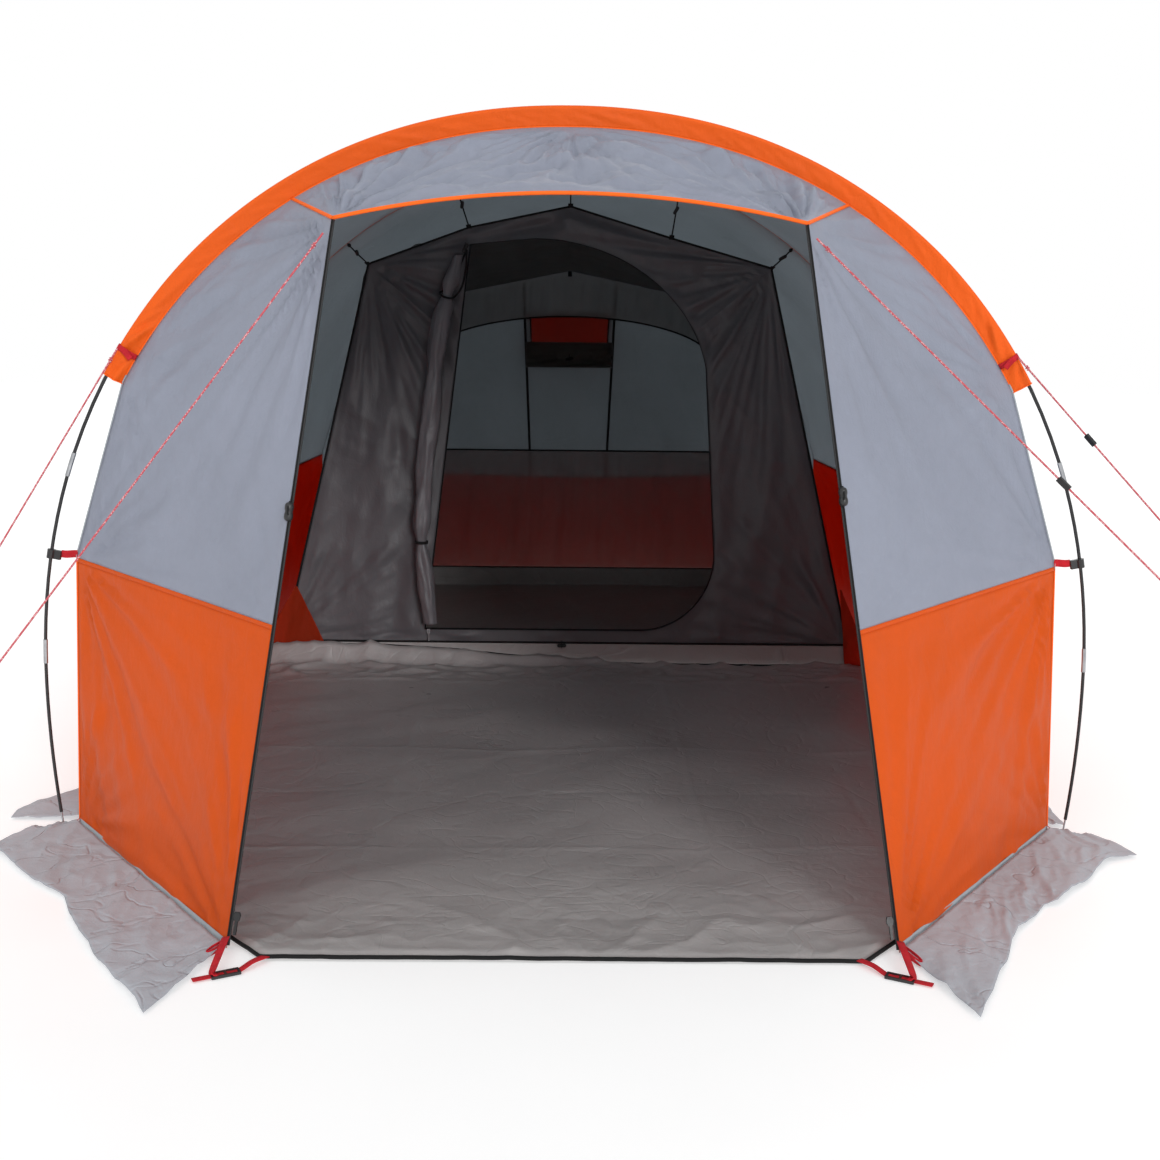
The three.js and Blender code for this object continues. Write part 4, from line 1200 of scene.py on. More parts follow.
def porch_groundsheet():
    """Laid flat, with a crumpled rear edge that climbs the inner tent's tub towards the left."""
    node = "porch_groundsheet"
    front, back = low(node)[1], high(node)[1]
    half = high(node)[0]
    corner_y = [front, SHEET_CUT_Y, FRONT_Y - 0.02, back]
    y = np.linspace(front, back, 300)
    w = np.interp(y, corner_y, [0.655, SHEET_CUT_HALF, half, half])
    u = np.linspace(-1, 1, 240)
    level = np.full((len(y), len(u)), 0.002)
    flat = np.stack([np.outer(w, u), np.outer(y, np.ones_like(u)), level], axis=-1)
    flat = facing(flat, UP, across=True)
    fade = edge_fade(flat, (0.03, 0.01, 0.03, 0.03))
    near_tub = smoothstep((flat[..., 1] - back + 0.40) / 0.30)
    near_front = smoothstep((front + 0.55 - flat[..., 1]) / 0.5)
    crumpled = creased(flat * [1, 1.8, 1], 0.26, 0.018, 3.0) * near_tub
    crumpled = crumpled + creased(flat, 0.2, 0.006, 6.0) * near_front
    height = np.maximum(0.008 + folded_sheet(flat, 0.46, 0.004, 2.0) + crumpled, 0.0)
    towards_left = smoothstep((0.35 - flat[..., 0]) / 1.2)
    climb = smoothstep((flat[..., 1] - back + 0.05) / 0.05) * (0.012 + 0.070 * towards_left)
    grid = flat.copy()
    grid[..., 2] = 0.003 + height * (0.25 + 0.75 * fade) + climb
    panel(node, grid, flat, [SHEET], "groundsheet_cloth", "laid", SHEET_THICK)
    cut = int(np.argmax(y > SHEET_CUT_Y))
    front_edge = np.concatenate([grid[cut:0:-1, 0], grid[0], grid[1:cut, -1]])
    for label, line in (("front", front_edge), ("rear", grid[-1, 1:-1])):
        edge = tube(f"{node}_{label}_binding", spread_along(line, 200) + UP * 0.002, 0.0048, BINDING, 8)
        ride(edge)


def inner_floor():
    """A shallow tub: a creased floor that turns up into a low wall all round."""
    half = INNER_HALF - 0.003
    front, back = low("inner_floor")[1] + 0.003, high("inner_floor")[1] - 0.003

    def profile(start, end, count):
        place = np.concatenate([[start] * 9, np.linspace(start, end, count)[1:-1], [end] * 9])
        rise = np.concatenate([np.linspace(1, 0, 9), np.zeros(count - 2), np.linspace(0, 1, 9)])
        return place, rise

    x, x_rise = profile(-half, half, 150)
    y, y_rise = profile(front, back, 140)
    rise = np.maximum(x_rise[None], y_rise[:, None])
    plane = np.stack([np.broadcast_to(x, rise.shape), np.broadcast_to(y[:, None], rise.shape)], axis=-1)
    flat = np.concatenate([plane, 0.003 + (TUB_HIGH - 0.004) * rise[..., None]], axis=-1)
    grid = flat.copy()
    grid[..., 2] += (rise == 0) * np.maximum(0.005 + folded_sheet(flat, 0.5, 0.005, 4.0), 0)
    lean = 0.008 * np.abs(NOISE.layers(flat / 0.15, 2)) * np.sin(math.pi * rise)
    grid[..., 0] -= np.sign(flat[..., 0]) * lean * (x_rise[None] > 0)
    grid[..., 1] -= np.sign(flat[..., 1] - (front + back) / 2) * lean * (y_rise[:, None] > 0)
    panel("inner_floor", grid, flat, [TUB], "groundsheet_cloth", "laid", SHEET_THICK)
    corners = np.array([[-half, front], [half, front], [half, back], [-half, back], [-half, front]])
    rim = np.concatenate([straight(a, b, 20) for a, b in zip(corners, corners[1:])])
    rim = np.concatenate([rim, np.full((len(rim), 1), TUB_HIGH)], axis=1)
    ride(tube("inner_floor_seam", rim, 0.003, BINDING, 8))


porch_groundsheet()
inner_floor()

# ---- Inner tent ------------------------------------------------------------------------------

HINGE_POINTS = 30  # points down the doorway's straight side


def arc(cx, cz, rx, rz, start, end, count):
    angle = np.radians(np.linspace(start, end, count))
    return np.stack([cx + rx * np.cos(angle), cz + rz * np.sin(angle)], axis=1)


def doorway_outline():
    """The D-shaped doorway: a straight hinge side and one long curve."""
    side_top = arc(-0.140, 1.130, 0.700, 0.605, 10, 10, 1)[0]
    return np.concatenate(
        [
            straight((-0.585, 0.160), (0.300, 0.160), 20)[:-1],
            arc(0.300, 0.470, 0.300, 0.310, -90, 0, 30)[:-1],
            straight((0.600, 0.470), side_top, 16)[:-1],
            arc(-0.140, 1.130, 0.700, 0.605, 10, 90, 50)[:-1],
            straight((-0.140, 1.735), (-0.395, 1.710), 8)[:-1],
            straight((-0.395, 1.710), (-0.585, 0.160), HINGE_POINTS),
        ]
    )


DOORWAY = doorway_outline()
LEFT_SLOPE = 1.775  # height halfway up the roof on the left, where a hanger lifts it
RIGHT_SLOPE = 1.742


def front_outline():
    """The front wall's outline, a little higher where each loop pulls it up."""
    return np.array(
        [
            (-INNER_HALF, TUB_HIGH),
            (INNER_HALF, TUB_HIGH),
            (INNER_TOP_HALF, EAVES),
            (INNER_TOP_HALF * 0.5, RIGHT_SLOPE),
            (0.0, RIDGE),
            (-INNER_TOP_HALF * 0.5, LEFT_SLOPE),
            (-INNER_TOP_HALF, EAVES),
        ]
    )


def ray_lengths(outline, centre, angles):
    """How far an outline lies from a point inside it, at each angle."""
    closed = np.vstack([outline, outline[:1]]) - centre
    a, b = closed[:-1], closed[1:]
    e = b - a
    result = np.zeros(len(angles))
    for k, angle in enumerate(angles):
        d = np.array([math.cos(angle), math.sin(angle)])
        cross = d[0] * e[:, 1] - d[1] * e[:, 0]
        with np.errstate(divide="ignore", invalid="ignore"):
            t = (a[:, 0] * e[:, 1] - a[:, 1] * e[:, 0]) / cross
            s = (a[:, 0] * d[1] - a[:, 1] * d[0]) / cross
        result[k] = t[(t > 0) & (s >= -1e-9) & (s <= 1 + 1e-9)].min()
    return result


def ring_grid(hole, outline, centre, rings):
    """A sheet with a hole: rows of points from the hole's edge out to the outline."""
    centre = np.asarray(centre)
    sharp = hole[[0, -1, -HINGE_POINTS]] - centre
    corners = np.concatenate([outline - centre, sharp])
    angles = np.linspace(-math.pi, math.pi, 420, endpoint=False)
    angles = np.concatenate([angles, np.arctan2(corners[:, 1], corners[:, 0])])
    angles = np.unique(np.round(angles, 6))
    direction = np.stack([np.cos(angles), np.sin(angles)], axis=1)
    near = ray_lengths(hole, centre, angles)
    far = ray_lengths(outline, centre, angles)
    radius = lerp(near[None], far[None], np.linspace(0, 1, rings)[:, None])
    return centre + direction[None] * radius[..., None]


def ring_sheet(node, plane, to_space, material, amounts):
    """A hung sheet with a hole, from a ring grid: its last column joins its first."""
    plane = np.concatenate([plane, plane[:, :1]], axis=1)
    flat = facing(to_space(plane), -BACK)
    height = sum(amount(flat) for amount in amounts) * edge_fade(flat, (0.05, 0.05, 0, 0))
    height[:, -1] = height[:, 0]
    grid = flat - BACK * height[..., None]
    faces = grid_faces(flat.shape[0], flat.shape[1] - 1, closed=True)
    obj = mesh_object(f"{node}_cloth", grid[:, :-1].reshape(-1, 3), faces, [material])
    thicken(obj, FLY_THICK)
    ride(obj, nodes=[node])


def front_wall():
    y = INNER_FRONT + 0.002
    ring_sheet(
        "inner_front_wall",
        ring_grid(DOORWAY, front_outline(), (0.0, 0.95), 44),
        lambda p: np.stack([p[..., 0], np.full(p.shape[:2], y), p[..., 1]], axis=-1),
        INNER,
        [
            lambda g: pulled(g, (0.14, 0, 1), 0.13, 1.2, 0.016, 1.0),
            lambda g: pulled(g, (0.5, 0, 1), 0.16, 0.7, 0.007, 7.0),
            lambda g: fans(g, both_sides((-INNER_TOP_HALF, y, EAVES)), 8, 0.030, 0.9, 2.0),
            lambda g: fans(g, both_sides((-INNER_HALF, y, TUB_HIGH)), 7, 0.022, 0.7, 4.0),
            lambda g: creased(g, 0.22, 0.006, 6.0),
        ],
    )


def inner_section(v, count):
    """The inner tent's outline across, at a share of the way back, from right to left."""
    ridge = lerp(RIDGE, REAR_RIDGE, v)
    eaves = lerp(EAVES, REAR_EAVES, v)
    slope = (REAR_EAVES + REAR_RIDGE) / 2
    corners = np.array(
        [
            (INNER_HALF, TUB_HIGH),
            (INNER_TOP_HALF, eaves),
            (INNER_TOP_HALF * 0.5, lerp(RIGHT_SLOPE, slope, v)),
            (0.0, ridge),
            (-INNER_TOP_HALF * 0.5, lerp(LEFT_SLOPE, slope, v)),
            (-INNER_TOP_HALF, eaves),
            (-INNER_HALF, TUB_HIGH),
        ]
    )
    x, z = spread_along(corners, count).T
    back = lerp(INNER_REAR, INNER_REAR_TOP, (z - TUB_HIGH) / (REAR_RIDGE - TUB_HIGH)) - 0.004
    return np.stack([x, lerp(INNER_FRONT + 0.003, back, v), z], axis=1)


def inner_canopy():
    columns, rows = 330, 130
    flat = np.array([inner_section(v, columns) for v in np.linspace(0, 1, rows)])
    flat = facing(flat, (flat - np.array([0, 0, 0.7])) * [1, 0, 1])
    hang = 0.028 * np.sin(math.pi * np.linspace(0, 1, rows))[:, None]
    sagged = flat - normals_of(flat) * hang[..., None]
    wrinkled = relief(
        sagged,
        [
            pulled(sagged, BACK, 0.17, 1.0, 0.014, 1.0),
            pulled(sagged, (1, 0.6, 0.2), 0.14, 0.6, 0.008, 8.0),
            creased(sagged, 0.25, 0.005, 2.0),
            fans(sagged, both_sides((INNER_TOP_HALF, INNER_FRONT, EAVES)), 7, 0.020, 0.8, 3.0),
        ],
        (0.05, 0.05, 0.04, 0.04),
    )
    panel("inner_canopy", wrinkled, flat, [INNER_ROOF], "inner_tent_cloth", "hung")


WINDOW_LOW = 0.765
WINDOW_HALF = 0.790
WINDOW_TOP_HALF = 0.760
WINDOW_SHOULDER = 1.230
WINDOW_TOP = 1.470


def window_outline():
    low_right, shoulder = (WINDOW_HALF, WINDOW_LOW), (WINDOW_TOP_HALF, WINDOW_SHOULDER)
    return np.concatenate(
        [
            straight((-WINDOW_HALF, WINDOW_LOW), low_right, 40)[:-1],
            straight(low_right, shoulder, 14)[:-1],
            arc(0.0, WINDOW_SHOULDER, WINDOW_TOP_HALF, WINDOW_TOP - WINDOW_SHOULDER, 0, 180, 60)[:-1],
            straight((-WINDOW_TOP_HALF, WINDOW_SHOULDER), (-WINDOW_HALF, WINDOW_LOW), 14),
        ]
    )


def rear_plane(p, out=0.0):
    """Points of the inner tent's leaning rear wall, from their places across and up."""
    share = (p[..., 1] - TUB_HIGH) / (REAR_RIDGE - TUB_HIGH)
    y = lerp(INNER_REAR, INNER_REAR_TOP, share) + 0.002 + out
    return np.stack([p[..., 0], y, p[..., 1]], axis=-1)


def inner_rear():
    half_outline = [(INNER_HALF, TUB_HIGH), (INNER_TOP_HALF, REAR_EAVES), (0, REAR_RIDGE)]
    outline = np.array([(-INNER_HALF, TUB_HIGH), *half_outline, (-INNER_TOP_HALF, REAR_EAVES)])
    ring_sheet(
        "inner_rear_wall",
        ring_grid(window_outline(), outline, (0.0, 1.0), 30),
        rear_plane,
        INNER_REAR_WALL,
        [
            lambda g: pulled(g, (0.05, 0, 1), 0.060, 0.9, 0.016, 1.0),
            lambda g: creased(g, 0.2, 0.005, 2.0),
        ],
    )


def rear_window():
    """The net in the rear wall's window, and the binding round it."""
    x = np.linspace(-WINDOW_HALF, WINDOW_HALF, 90)
    sill = np.stack([x, np.full_like(x, WINDOW_LOW)], axis=1)
    rise = np.sqrt(np.clip(1 - (x / WINDOW_HALF) ** 2, 0, 1))
    top = np.stack([x * 0.97, lerp(WINDOW_SHOULDER, WINDOW_TOP, rise)], axis=1)
    flat = facing(rear_plane(ruled(sill, top, 40), 0.001), -BACK, across=True)
    slack = 0.006 * NOISE(flat / 0.35 + 3.0)
    netting = relief(flat, [slack], (0.08, 0.08, 0.08, 0.08))
    sheet("inner_rear_net", netting, flat, [NET], "inner_tent_cloth", "stretched")
    window = window_outline()
    around = spread_along(np.vstack([window, window[:1]]), 160)
    binding = tube("inner_window_binding", rear_plane(around, -0.004), 0.0045, BINDING, 8)
    ride(binding)


def inner_bindings():
    """Binding round the front wall, zip tape round the doorway and a seam down its hinge side."""
    y = INNER_FRONT - 0.001
    outline = front_outline()
    outline = np.vstack([outline[1:], outline[:2]])
    line = cornered_line(outline, 30)
    line = np.stack([line[:, 0], np.full(len(line), y), line[:, 1]], axis=1)
    ride(tube("inner_front_binding", line, 0.0042, BINDING, 8))
    door = np.stack([DOORWAY[:, 0], np.full(len(DOORWAY), y - 0.001), DOORWAY[:, 1]], axis=1)
    tape = strap("inner_door_zip_tape", door[: 1 - HINGE_POINTS], 0.016, 0.0022, ZIP, BACK + UP * 0.2)
    ride(tape)
    ride(tube("inner_door_hinge_seam", door[-HINGE_POINTS:], 0.003, BINDING, 8))


def corner_patch(label, outer, inner, foot, apex):
    """An orange gusset between the front wall's lower corner and the flysheet."""
    base = straight((outer, foot), (inner, foot), 24)
    top = straight((apex[0] - 0.003, apex[1]), (apex[0] + 0.003, apex[1]), 24)
    plane = ruled(base, top, 26)
    flat = np.stack([plane[..., 0], np.full(plane.shape[:2], INNER_FRONT - 0.016), plane[..., 1]], axis=-1)
    flat = facing(flat, -BACK, across=True)
    grid = relief(flat, [pulled(flat, (0.3, 0, 1), 0.05, 0.3, 0.006, 2.0)], (0.02, 0.02, 0.0, 0.0))
    name = f"inner_{label}_corner_patch"
    sheet(name, grid, flat, [ORANGE_INSIDE], "orange_flysheet", "stretched", SHEET_THICK)


ROLL_Y = INNER_FRONT - 0.050
UPPER_TIE_Z = 1.515
LOWER_TIE_Z = 0.528
ROLL_ROUTE = [
    (-0.440, ROLL_Y, 1.664),
    (-0.484, ROLL_Y, UPPER_TIE_Z),
    (-0.512, ROLL_Y, 1.397),
    (-0.541, ROLL_Y, 1.182),
    (-0.560, ROLL_Y, 0.967),
    (-0.582, ROLL_Y, 0.740),
    (-0.592, ROLL_Y, LOWER_TIE_Z),
    (-0.574, ROLL_Y, 0.360),
    (-0.558, ROLL_Y, 0.190),
]


def rolled_door():
    """The door, wound into a loose roll along its hinge side and pinched by two ties."""
    stations, turns, per_turn = 190, 5.0, 28
    centre = smooth_line(ROLL_ROUTE, stations)
    z = centre[:, 2]
    turn = np.linspace(0, turns, int(turns * per_turn))
    side = np.array([1.0, 0, 0])
    ties = 0.50 * np.exp(-(((z - UPPER_TIE_Z) / 0.035) ** 2))
    ties = ties + 0.42 * np.exp(-(((z - LOWER_TIE_Z) / 0.045) ** 2))
    head = 1 - 0.55 * smoothstep((z - 1.53) / 0.13)
    tail = 1 - 0.25 * smoothstep((0.36 - z) / 0.17)
    fullness = head * tail * (1 - ties)
    angle = 2 * math.pi * turn[None] + 1.4 * np.linspace(0, 1, stations)[:, None]
    at = np.stack([np.cos(angle) * 1.5, np.sin(angle) * 1.5, z[:, None] * 6 + 0 * angle], axis=-1)
    lobes = 1 + 0.30 * NOISE(at) + 0.14 * NOISE(at * 2.3 + 4)
    radius = (0.005 + 0.0062 * turn[None]) * fullness[:, None] * lobes
    aside, behind = radius * np.cos(angle), radius * np.sin(angle)
    grid = centre[:, None] + side * aside[..., None] + BACK * behind[..., None]
    grid[..., 1] = np.minimum(grid[..., 1], INNER_FRONT - 0.006)
    node = "inner_door_roll"
    obj = mesh_object(f"{node}_cloth", grid.reshape(-1, 3), grid_faces(*grid.shape[:2]), [DOOR_CLOTH])
    ride(thicken(obj, 0.0008), nodes=[node])
    t = np.linspace(0, 2 * math.pi, 40)
    i = int(np.argmin(np.abs(z - LOWER_TIE_Z)))
    r = radius[i, -per_turn:].max() + 0.003
    tie = centre[i] + np.outer(np.cos(t), side) * r + np.outer(np.sin(t), BACK) * r
    ride(strap("inner_door_lower_tie", tie, 0.012, 0.0015, ELASTIC, UP))
    front = ROLL_Y - 0.030
    loop = [
        (-0.404, front, 1.684),
        (-0.408, front - 0.004, 1.610),
        (-0.424, front - 0.006, 1.540),
        (-0.456, front - 0.006, 1.500),
        (-0.492, front + 0.004, 1.502),
        (-0.512, ROLL_Y, 1.518),
        (-0.490, INNER_FRONT - 0.012, 1.540),
        (-0.440, INNER_FRONT - 0.012, 1.620),
        (-0.408, INNER_FRONT - 0.016, 1.688),
    ]
    ride(tube("inner_door_tie_loop", smooth_line(loop, 60), 0.0040, ELASTIC, 8))


front_wall()
inner_canopy()
inner_rear()
rear_window()
inner_bindings()
corner_patch("left", -INNER_HALF - 0.090, -0.995, TUB_HIGH - 0.012, (-1.110, 0.335))
corner_patch("right", INNER_HALF - 0.010, INNER_HALF + 0.110, 0.008, (1.125, 0.340))
rolled_door()

# ---- Toggles and hangers ---------------------------------------------------------------------


def toggle(name, at, along, radius=0.0075, half=0.019):
    """A rounded barrel toggle with a waist, on an elastic loop."""
    at, along = np.array(at), unit(along)
    s = np.linspace(-1, 1, 24)
    profile = np.sqrt(np.clip(1 - s**6, 0.03, 1)) * (1 - 0.16 * np.exp(-((s / 0.22) ** 2)))
    barrel = tube(f"{name}_barrel", at + np.outer(s * half, along), radius, BLACK, 16, profile)
    front = np.array([0, -1.0, 0]) * (radius + 0.0015)
    loop = [
        at + [0, radius, half],
        at + front + UP * half * 0.4,
        at + front - UP * 0.004,
        at + [0, radius, -half * 0.6],
    ]
    elastic = tube(f"{name}_loop", smooth_line(loop, 20), 0.0020, ELASTIC, 8)
    ride(join(name, [barrel, elastic]))


def hanger(name, lower, upper):
    """An elastic from a sewn tab on the inner tent, through a toggle, to a loop at the flysheet."""
    lower, upper = np.array(lower), np.array(upper)
    along = unit(upper - lower)
    drop = smooth_line([lower, lerp(lower, upper, 0.5) - UP * 0.002, upper], 16)
    cord = tube(f"{name}_cord", drop, 0.0030, ELASTIC, 8)
    tab = straight(lower - along * 0.035, lower + along * 0.014, 6)
    s = np.linspace(-1, 1, 14)
    barrel = lerp(lower, upper, 0.55) + np.outer(s * 0.017, along + [0.35, 0, 0])
    knot_at = upper - along * 0.012 + np.outer(s * 0.008, along)
    parts = [
        cord,
        strap(f"{name}_tab", tab, 0.020, 0.0022, BLACK_STRAP, (1, 0, 0)),
        tube(f"{name}_toggle", barrel, 0.0072, BLACK, 12, np.sqrt(np.clip(1 - s**6, 0.05, 1))),
        tube(f"{name}_knot", knot_at, 0.0075, ELASTIC, 10, np.sqrt(np.clip(1 - s**2, 0.1, 1))),
    ]
    ride(join(name, parts))


def seam_at_x(seam, x):
    """The seam's point over the tent at a place across."""
    roof = seam.line[seam.line[:, 2] > SLEEVE_LOW - FIN]
    return np.array([np.interp(-x, -roof[:, 0], roof[:, k]) for k in range(3)])


def hangers():
    tops = (
        (-INNER_TOP_HALF, EAVES, -0.86),
        (-INNER_TOP_HALF * 0.5, LEFT_SLOPE, -0.44),
        (0.0, RIDGE, 0.0),
        (INNER_TOP_HALF * 0.5, RIGHT_SLOPE, 0.42),
        (INNER_TOP_HALF, EAVES, 0.86),
    )
    for k, (x, z, fly_x) in enumerate(tops):
        hanger(f"front_hanger_{k + 1}", (x, INNER_FRONT, z), seam_at_x(MID_SEAM, fly_x) - UP * 0.004)
    rear_tops = ((-INNER_TOP_HALF, REAR_EAVES), (0.0, REAR_RIDGE), (INNER_TOP_HALF, REAR_EAVES))
    for k, (x, z) in enumerate(rear_tops):
        fly = seam_at_x(REAR_SEAM, x * 1.08) - UP * 0.004
        hanger(f"rear_hanger_{k + 1}", rear_plane(np.array([x, z])), fly)


hangers()

# ---- Piping, seams and zips ------------------------------------------------------------------


REAR_OUTWARD = np.array([0, 1.0, 0.3])


def surface_strip(name, points, outward, width, material, thickness=0.002, lift=0.001):
    """A flat tape that lies on a panel along a line."""
    points, tangent, _ = frames_along(points, outward)
    outward = np.broadcast_to(np.asarray(outward, dtype=float), points.shape)
    piece = strap(name, points + outward * lift, width, thickness, material, np.cross(tangent, outward))
    return ride(piece)


def porch_trims():
    """Piping on the canopy's edges, zip and tape on the door's edges, and seams on the side walls."""
    for label, side in SIDES:
        out = outward_of_porch(side)
        hoop_corner = FRONT_SEAM.along(CANOPY_START) * [side, 1, 1]
        corner = DOOR_TOP * [side, 1, 1]
        piping = tube(f"{label}_canopy_piping", straight(hoop_corner, corner, 24), 0.0045, PIPING, 10)
        ride(piping)
        post = door_edge(side, np.linspace(0.01, DOOR_TOP[2] - 0.004, 70))
        inward = np.array([-side, 0, -0.12])
        zip_strip = strap(f"{label}_door_zip_tape", post + inward * 0.002, 0.008, 0.0022, ZIP, inward)
        edge = tube(f"{label}_door_edge", post, 0.0026, BINDING, 8)
        ride(join(f"{label}_door_zip", [zip_strip, edge]))
        band = straight(FRONT_SEAM.at_height(BAND_Z) * [side, 1, 1], door_edge(side, DOOR_BAND_Z), 60)
        surface_strip(f"{label}_porch_seam", band, out, 0.010, ORANGE)
        hem = straight(FRONT_SEAM.along(0.012) * [side, 1, 1], door_edge(side, 0.012), 70)
        surface_strip(f"{label}_porch_hem", hem, out, 0.018, TAPE)
    arch = door_top(np.linspace(0, 1, 70))
    ride(tube("door_top_piping", arch, 0.0048, PIPING, 10))


def band_seams():
    """The seams where the orange band meets the grey roof and the rear wall."""
    t = np.linspace(0, 1, 60)
    bays = (("front", FRONT_SEAM, MID_SEAM), ("rear", MID_SEAM, REAR_SEAM))
    for label, side in SIDES:
        for bay, first, last in bays:
            line = lerp(first.at_height(BAND_Z), last.at_height(BAND_Z), t[:, None])
            line[:, 0] -= BAY_SAG * np.sin(math.pi * t)
            out = np.array([side, 0, 0.1])
            name = f"{label}_{bay}_band_seam"
            surface_strip(name, line * [side, 1, 1], out, 0.010, ORANGE)
    u = np.linspace(rear_band_start(), 1 - rear_band_start(), 160)
    line = rear_wall_point(u, rear_band_share(u))
    surface_strip("rear_band_seam", line, REAR_OUTWARD, 0.010, ORANGE)


REAR_SEAM_X = 0.235


def rear_wall_seams():
    """Two upright seams beside the vent, taped in black on the inside."""
    edge = rear_share_at(REAR_SEAM_X, (VENT_LOW + VENT_HIGH) / 2)
    for label, u_seam in (("right", edge), ("left", 1 - edge)):
        u = np.full(60, u_seam)
        line = rear_wall_point(u, np.linspace(rear_band_share(u)[0], 0.985, 60))
        name, slot = f"{label}_rear_wall", "grey_flysheet"
        surface_strip(f"{name}_seam", line, REAR_OUTWARD, 0.008, GREY, 0.006, 0.004)
        surface_strip(f"{name}_tape", line, -REAR_OUTWARD, 0.013, BINDING, 0.010, 0.008)


def hoop_seams():
    """The welt where the panels meet at each hoop: grey between the sleeve and the orange band."""
    for name, _, seam in HOOPS:
        band, sleeve_end, top = seam.length_to(BAND_Z), seam.length_to(SLEEVE_LOW), seam.long
        orange = [(0.02, band), (sleeve_end, top - sleeve_end), (top - band, top - 0.02)]
        grey = [(band, sleeve_end), (top - sleeve_end, top - band)]
        for shade, material, slot, stretches in (
            ("orange", PIPING, "orange_flysheet", orange),
            ("grey", TAPE, "grey_flysheet", grey),
        ):
            lines = [seam.along(np.linspace(a, b, max(int((b - a) / 0.012), 2))) for a, b in stretches]
            welts = [tube(f"{name}_{shade}_welt", line, 0.0024, material, 8) for line in lines]
            ride(join(f"{name}_{shade}_welt", welts))


porch_trims()
band_seams()
rear_wall_seams()
hoop_seams()

# ---- Rear vent -------------------------------------------------------------------------------


def vent_hood():
    """The hood over the rear vent, with its stiff edge."""
    node = "vent_hood"
    hinge = np.array([0, low(node)[1] + 0.003, high(node)[2] - 0.003])
    foot = np.array([0, high(node)[1] - 0.003, low(node)[2] + 0.003])
    v = np.linspace(0, 1, 34)
    u = np.linspace(-1, 1, 50)
    half = lerp(VENT_HALF + 0.020, high(node)[0], v)
    flat = np.zeros((len(v), len(u), 3)) + lerp(hinge, foot, v[:, None])[:, None]
    flat[..., 0] = np.outer(half, u)
    outward = unit([0, hinge[2] - foot[2], foot[1] - hinge[1]])
    flat = facing(flat, outward, across=True)
    crown = 0.008 * np.sin(math.pi * v)[:, None] * (1 - u[None] ** 2)
    grid = flat + outward * (crown + 0.003)[..., None]
    grid = grid + normals_of(flat) * creased(flat, 0.12, 0.0015, 2.0)[..., None]
    panel(node, grid, flat, *ORANGE_FLY, body="vent_hood_body")
    rim = np.concatenate([grid[:, 0], grid[-1, 1:], grid[::-1, -1][1:]])
    ride(tube("vent_hood_stiff_edge", rim, 0.0035, BINDING, 8), "vent_hood_body")


COVER_Z = (1.205, 1.340)  # from the bottom to the top of the folded inside cover


def vent_opening():
    """The net across the rear vent, the binding round it, and the inside cover folded down."""
    u = np.array([VENT_U, 1 - VENT_U])
    rise = rear_top(u)[:, 2]
    sill, head = rear_wall_point(u, VENT_LOW / rise), rear_wall_point(u, VENT_HIGH / rise)
    flat = ruled(straight(*sill, 40), straight(*head, 40), 24) - BACK * 0.002
    sheet("vent_net", flat, flat, [NET], "grey_flysheet", "stretched")
    outline = cornered_line([sill[0], sill[1], head[1], head[0], sill[0]], 20)
    ride(tube("vent_binding", outline, 0.004, BINDING, 8))
    middle_u = np.full(2, 0.5)
    bottom, top = rear_wall_point(middle_u, np.array(COVER_Z) / rear_top(middle_u)[:, 2])
    t = np.linspace(0, 1, 26)[:, None, None]
    x = np.linspace(-REAR_SEAM_X, REAR_SEAM_X, 70)[None, :, None]
    strip = lerp(bottom, top, t) + x * np.array([1.0, 0, 0]) - BACK * 0.022
    strip = facing(strip, -BACK, across=True)
    folds = [pulled(strip, (1, 0, 0.1), 0.030, 0.5, 0.014, 2.0), creased(strip, 0.08, 0.006, 3.0)]
    grid = relief(strip, folds, (0.02, 0.02, 0.01, 0.01))
    sheet("vent_cover", grid, strip, [NET_CLOTH], "inner_tent_cloth", "gathered", SHEET_THICK)
    toggle("vent_cover_toggle", lerp(bottom, top, 0.35) - BACK * 0.046, (1, 0, 0.2), 0.009, 0.022)


vent_hood()
vent_opening()

# ---- Straps and loops ------------------------------------------------------------------------

DOOR_TOGGLE_Z = {"left": 0.940, "right": 0.985}


def door_toggles():
    for label, side in SIDES:
        at = door_edge(side, DOOR_TOGGLE_Z[label]) + np.array([0, -0.012, 0])
        toggle(f"{label}_door_toggle", at, (-0.1 * side, 0.1, 1), 0.0105, 0.022)
    toggle("inner_door_toggle", (-0.02, INNER_FRONT - 0.014, TUB_HIGH - 0.01), (1, 0, 0))
    toggle("inner_door_top_toggle", (-0.410, ROLL_Y - 0.030, 1.690), (0.5, 0, 1), 0.009, 0.020)


def sleeve_straps():
    """The red strap round each sleeve end that takes the hoop's guyline."""
    length = FRONT_POLE.length_to(STRAP_Z)
    for label, side in SIDES:
        centre = FRONT_POLE.along(length) * [side, 1, 1]
        inward = FRONT_POLE.inward_at(length) * [side, 1, 1]
        axis = np.cross(inward, BACK)
        t = np.linspace(0, 2 * math.pi, 40)
        loop = centre + np.outer(np.cos(t) * 0.028 + 0.017, inward) + np.outer(np.sin(t) * 0.0135, BACK)
        band = strap(f"{label}_sleeve_strap_band", loop, 0.015, 0.0018, RED_STRAP, axis)
        front = centre - BACK * 0.017
        tail = [
            front + inward * 0.012,
            front + inward * 0.022 - UP * 0.004,
            front + inward * 0.032 - UP * 0.010,
        ]
        end = strap(f"{label}_sleeve_strap_tail", smooth_line(tail, 14), 0.015, 0.0016, RED_STRAP, axis)
        ride(join(f"{label}_sleeve_strap", [band, end]))


